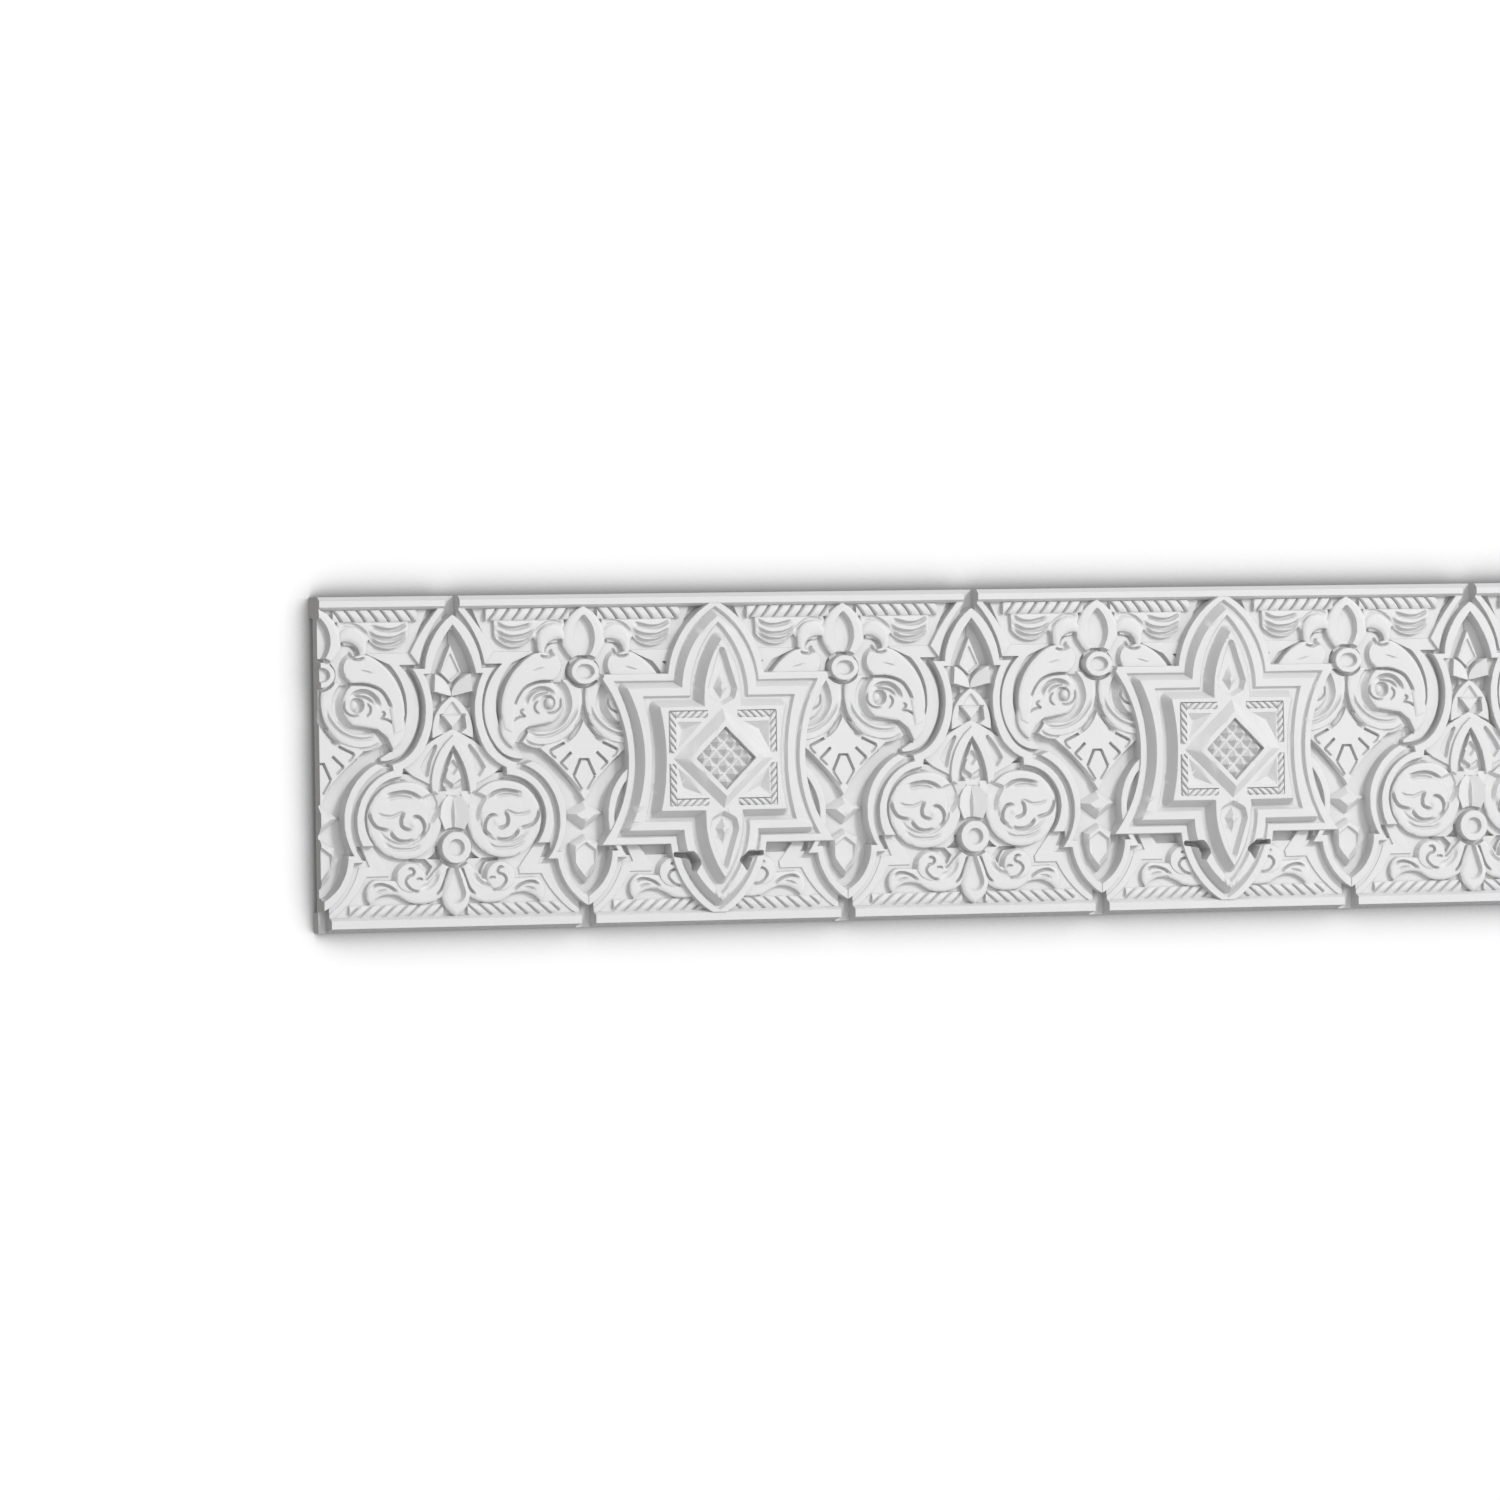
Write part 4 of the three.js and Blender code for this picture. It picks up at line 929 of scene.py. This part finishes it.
def wall_material(glow, reach):
    """A wall of even light with a painted shadow: its glow is darker close to the moulding, by how much of
    the space within reach is taken up. It is clear when seen from behind."""
    material = bpy.data.materials.new("pale wall with painted shadow")
    material.use_nodes = True
    tree = material.node_tree
    tree.nodes.remove(tree.nodes["Principled BSDF"])
    # Painted shadow round the moulding: the wall's own glow is dimmed near it
    open_space = placed(tree, "ShaderNodeAmbientOcclusion", [("Distance", reach)])
    level = placed(tree, "ShaderNodeMapRange",
                   [("Value", open_space.outputs["AO"]), ("From Min", 0.35), ("From Max", 1.0),
                    ("To Min", 0.12), ("To Max", glow)], interpolation_type="SMOOTHSTEP")
    light = placed(tree, "ShaderNodeEmission", [("Strength", level.outputs["Result"])])
    side = placed(tree, "ShaderNodeNewGeometry")
    clear = placed(tree, "ShaderNodeBsdfTransparent")
    mixed = placed(tree, "ShaderNodeMixShader",
                   [("Fac", side.outputs["Backfacing"]), (1, light.outputs["Emission"]),
                    (2, clear.outputs["BSDF"])])
    tree.links.new(mixed.outputs["Shader"], tree.nodes["Material Output"].inputs["Surface"])
    return material


# Settings, operators and the panel

class FriezeSizes(bpy.types.PropertyGroup):
    """Fineness and surface of the moulding."""

    grid: FloatProperty(name="Grid", description="Spacing of the relief's grid, in millimetres",
                        default=1 / 3, min=0.2, max=2.0)
    triangles: IntProperty(name="Triangles", description="Triangles of the carved front after thinning",
                           default=188000, min=20000, max=195000)
    colour: FloatVectorProperty(name="Primer colour", description="Colour of the primed front",
                                subtype="COLOR", default=(0.76, 0.76, 0.76), min=0, max=1)
    back_colour: FloatVectorProperty(name="Back colour", description="Colour of the sawn ends and the back",
                                     subtype="COLOR", default=(0.72, 0.71, 0.68), min=0, max=1)
    # Painted shade: how much the primer's colour is darkened in narrow hollows
    painted_hollow_shade: FloatProperty(name="Painted hollow shade",
                                description="How much darker the primer is in narrow hollows", default=0.3,
                                min=0, max=1)
    grain: FloatProperty(name="Grain depth", description="Depth of the primer's grain", default=0.00005,
                         unit="LENGTH", precision=6)


class FriezeStage(bpy.types.PropertyGroup):
    """Light, floor and camera."""

    key: FloatProperty(name="Key light", description="Power of the large light at the right, in watts",
                       default=260, min=0)
    sky: FloatProperty(name="Sky", description="Strength of the soft light from the front",
                       default=1.09, min=0)
    glow: FloatProperty(name="Wall glow", description="Strength of the wall's own light", default=1.05,
                        min=0)
    # The wall's painted shadow: how far from the moulding its glow is dimmed
    painted_shadow_reach: FloatProperty(name="Painted shadow reach",
                               description="How far from the moulding the wall is darker", unit="LENGTH",
                               default=0.06)
    floor_level: FloatProperty(name="Floor level", description="Height of the floor below the moulding",
                               unit="LENGTH", default=-0.9)
    floor_colour: FloatVectorProperty(name="Floor colour", description="Colour of the pale floor",
                                      subtype="COLOR", default=(0.8, 0.8, 0.8), min=0, max=1)
    camera_place: FloatVectorProperty(name="Camera place", description="Where the camera stands",
                                      unit="LENGTH", default=(-2.8225, -6.0632, 0.1264))
    camera_turn: FloatProperty(name="Camera turn", description="Heading of the view from +Y towards +X",
                               subtype="ANGLE", default=math.radians(23.22))
    camera_dip: FloatProperty(name="Camera dip", description="How far the view dips below level",
                              subtype="ANGLE", default=math.radians(0.26))
    camera_roll: FloatProperty(name="Camera roll", description="Roll of the view to the left",
                               subtype="ANGLE", default=math.radians(-0.93))
    lens: FloatProperty(name="Lens", description="Focal length on a 36 mm wide film, in millimetres",
                        default=11114 * 36 / 1500)


class FRIEZE_OT_moulding(bpy.types.Operator):
    """Makes the carved moulding in one piece and puts it in place of its plain solid"""

    bl_idname = "frieze.moulding"
    bl_label = "Moulding"

    def execute(self, context):
        sizes = context.scene.frieze_sizes
        mesh = moulding_mesh(sizes)
        if len(mesh.polygons) == 0:
            raise RuntimeError("the moulding came out empty")
        piece = bpy.data.objects.new("carved_moulding", mesh)
        context.scene.collection.objects.link(piece)
        group = primer_group()
        # The front's colour carries painted shade in narrow hollows; the sawn back's carries none
        front = primed("primed front", group, sizes.colour, 0.05, sizes.painted_hollow_shade, 900.0, 0.7, 0.5,
                       sizes.grain)
        back = primed("sawn back", group, sizes.back_colour, 0.16, 0, 380.0, 0.85, 0.8, 4 * sizes.grain)
        mesh.materials.append(front)
        mesh.materials.append(back)
        even = piece.modifiers.new("even shading", "WEIGHTED_NORMAL")
        even.keep_sharp = True
        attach(piece, "root")
        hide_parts("moulding")
        return {"FINISHED"}


class FRIEZE_OT_stage(bpy.types.Operator):
    """Lays the floor and sets the lights and the camera"""

    bl_idname = "frieze.stage"
    bl_label = "Stage"

    def execute(self, context):
        stage = context.scene.frieze_stage
        lay_floor(context, stage)
        set_lights(context, stage)
        set_camera(context, stage)
        if not context.scene.camera:
            raise RuntimeError("the stage has no camera")
        return {"FINISHED"}


# The stage
STAGE_HALF = 4.0
STAGE_FRONT = -3.0
WALL_GAP = 0.0006
MIDDLE = (0.0, 0.0, 0.09)
KEY_PLACE = (3.4, -5.4, 3.6)
KEY_SIZE = 1.6
BRIGHTEST = (0.08, -1, 0.1)
PLAIN_SKY = 0.85


def lay_floor(context, stage):
    """A pale floor below the moulding and the wall that it is fixed to: a pale glow with a painted shadow
    round the moulding. The wall is seen from its front only, and lights nothing."""
    half, low, front, back = STAGE_HALF, stage.floor_level, STAGE_FRONT, WALL_GAP
    pieces = {
        "floor": ([(-half, front, low), (half, front, low), (half, back, low), (-half, back, low)],
                  floor_material(stage.floor_colour)),
        "wall": ([(-half, back, low), (half, back, low), (half, back, half), (-half, back, half)],
                 wall_material(stage.glow, stage.painted_shadow_reach)),
    }
    for name, (places, material) in pieces.items():
        mesh = bpy.data.meshes.new(name)
        mesh.from_pydata(places, [], [(0, 1, 2, 3)])
        mesh.materials.append(material)
        piece = bpy.data.objects.new(name, mesh)
        context.scene.collection.objects.link(piece)
    piece.visible_diffuse = piece.visible_glossy = False


def area_light(context, name, place, target, size, power):
    """A square light that faces a target."""
    light = bpy.data.lights.new(name, "AREA")
    light.shape = "SQUARE"
    light.size = size
    light.energy = power
    lamp = bpy.data.objects.new(name, light)
    lamp.location = place
    lamp.rotation_euler = (Vector(target) - Vector(place)).to_track_quat("-Z", "Y").to_euler()
    context.scene.collection.objects.link(lamp)


def set_lights(context, stage):
    """A large light from the right and above, and a pale sky that is brightest in front of the moulding and
    behind it and fades to the sides, by the cosine of the angle from its face. The camera sees it as an
    even pale grey."""
    area_light(context, "key", KEY_PLACE, MIDDLE, KEY_SIZE, stage.key)
    world = context.scene.world or bpy.data.worlds.new("studio")
    context.scene.world = world
    world.use_nodes = True
    tree = world.node_tree
    way = placed(tree, "ShaderNodeTexCoord")
    ahead = placed(tree, "ShaderNodeVectorMath", [(0, way.outputs["Generated"]), (1, BRIGHTEST)],
                   operation="DOT_PRODUCT")
    before = placed(tree, "ShaderNodeMapRange",
                    [("Value", ahead.outputs["Value"]), ("From Min", 0.2), ("To Min", 0.04 * stage.sky),
                     ("To Max", stage.sky)], interpolation_type="SMOOTHSTEP")
    behind = placed(tree, "ShaderNodeMapRange",
                    [("Value", ahead.outputs["Value"]), ("From Min", -0.45), ("From Max", -1.0),
                     ("To Max", stage.sky)], interpolation_type="SMOOTHSTEP")
    both = placed(tree, "ShaderNodeMath", [(0, before.outputs["Result"]), (1, behind.outputs["Result"])])
    seen = placed(tree, "ShaderNodeLightPath")
    shown = placed(tree, "ShaderNodeMix",
                   [(0, seen.outputs["Is Camera Ray"]), (2, both.outputs["Value"]), (3, PLAIN_SKY)])
    tree.nodes["Background"].inputs["Color"].default_value = (1, 1, 1, 1)
    tree.links.new(shown.outputs[0], tree.nodes["Background"].inputs["Strength"])
    context.scene.view_settings.view_transform = "Standard"


def set_camera(context, stage):
    """The photo's view: the camera's right, up and back directions from its turn, dip and roll."""
    turn, dip, roll = stage.camera_turn, stage.camera_dip, stage.camera_roll
    ahead = Vector((math.sin(turn) * math.cos(dip), math.cos(turn) * math.cos(dip), -math.sin(dip)))
    right = ahead.cross(Vector((0, 0, 1))).normalized()
    up = right.cross(ahead)
    rolled_right = math.cos(roll) * right + math.sin(roll) * up
    rolled_up = math.cos(roll) * up - math.sin(roll) * right
    data = bpy.data.cameras.new("camera")
    data.sensor_fit = "HORIZONTAL"
    data.sensor_width = 36
    data.lens = stage.lens
    data.clip_end = 100
    camera = bpy.data.objects.new("camera", data)
    turned = Matrix((rolled_right, rolled_up, -ahead)).transposed().to_4x4()
    camera.matrix_world = Matrix.Translation(stage.camera_place) @ turned
    context.scene.collection.objects.link(camera)
    context.scene.camera = camera


class FRIEZE_PT_panel(bpy.types.Panel):
    """Lists the moulding's settings and what makes it"""

    bl_label = "Frieze moulding"
    bl_idname = "FRIEZE_PT_panel"
    bl_space_type = "VIEW_3D"
    bl_region_type = "UI"
    bl_category = "Frieze"

    def draw(self, context):
        for settings in (context.scene.frieze_sizes, context.scene.frieze_stage):
            for name in type(settings).__annotations__:
                self.layout.prop(settings, name)
        self.layout.operator(FRIEZE_OT_moulding.bl_idname)
        self.layout.operator(FRIEZE_OT_stage.bl_idname)


CLASSES = (FriezeSizes, FriezeStage, FRIEZE_OT_moulding, FRIEZE_OT_stage, FRIEZE_PT_panel)


def register():
    for item in CLASSES:
        bpy.utils.register_class(item)
    bpy.types.Scene.frieze_sizes = PointerProperty(type=FriezeSizes)
    bpy.types.Scene.frieze_stage = PointerProperty(type=FriezeStage)


def unregister():
    del bpy.types.Scene.frieze_stage
    del bpy.types.Scene.frieze_sizes
    for item in reversed(CLASSES):
        bpy.utils.unregister_class(item)


def main():
    register()
    bpy.ops.frieze.stage()
    bpy.ops.frieze.moulding()


if __name__ == "__main__":
    main()
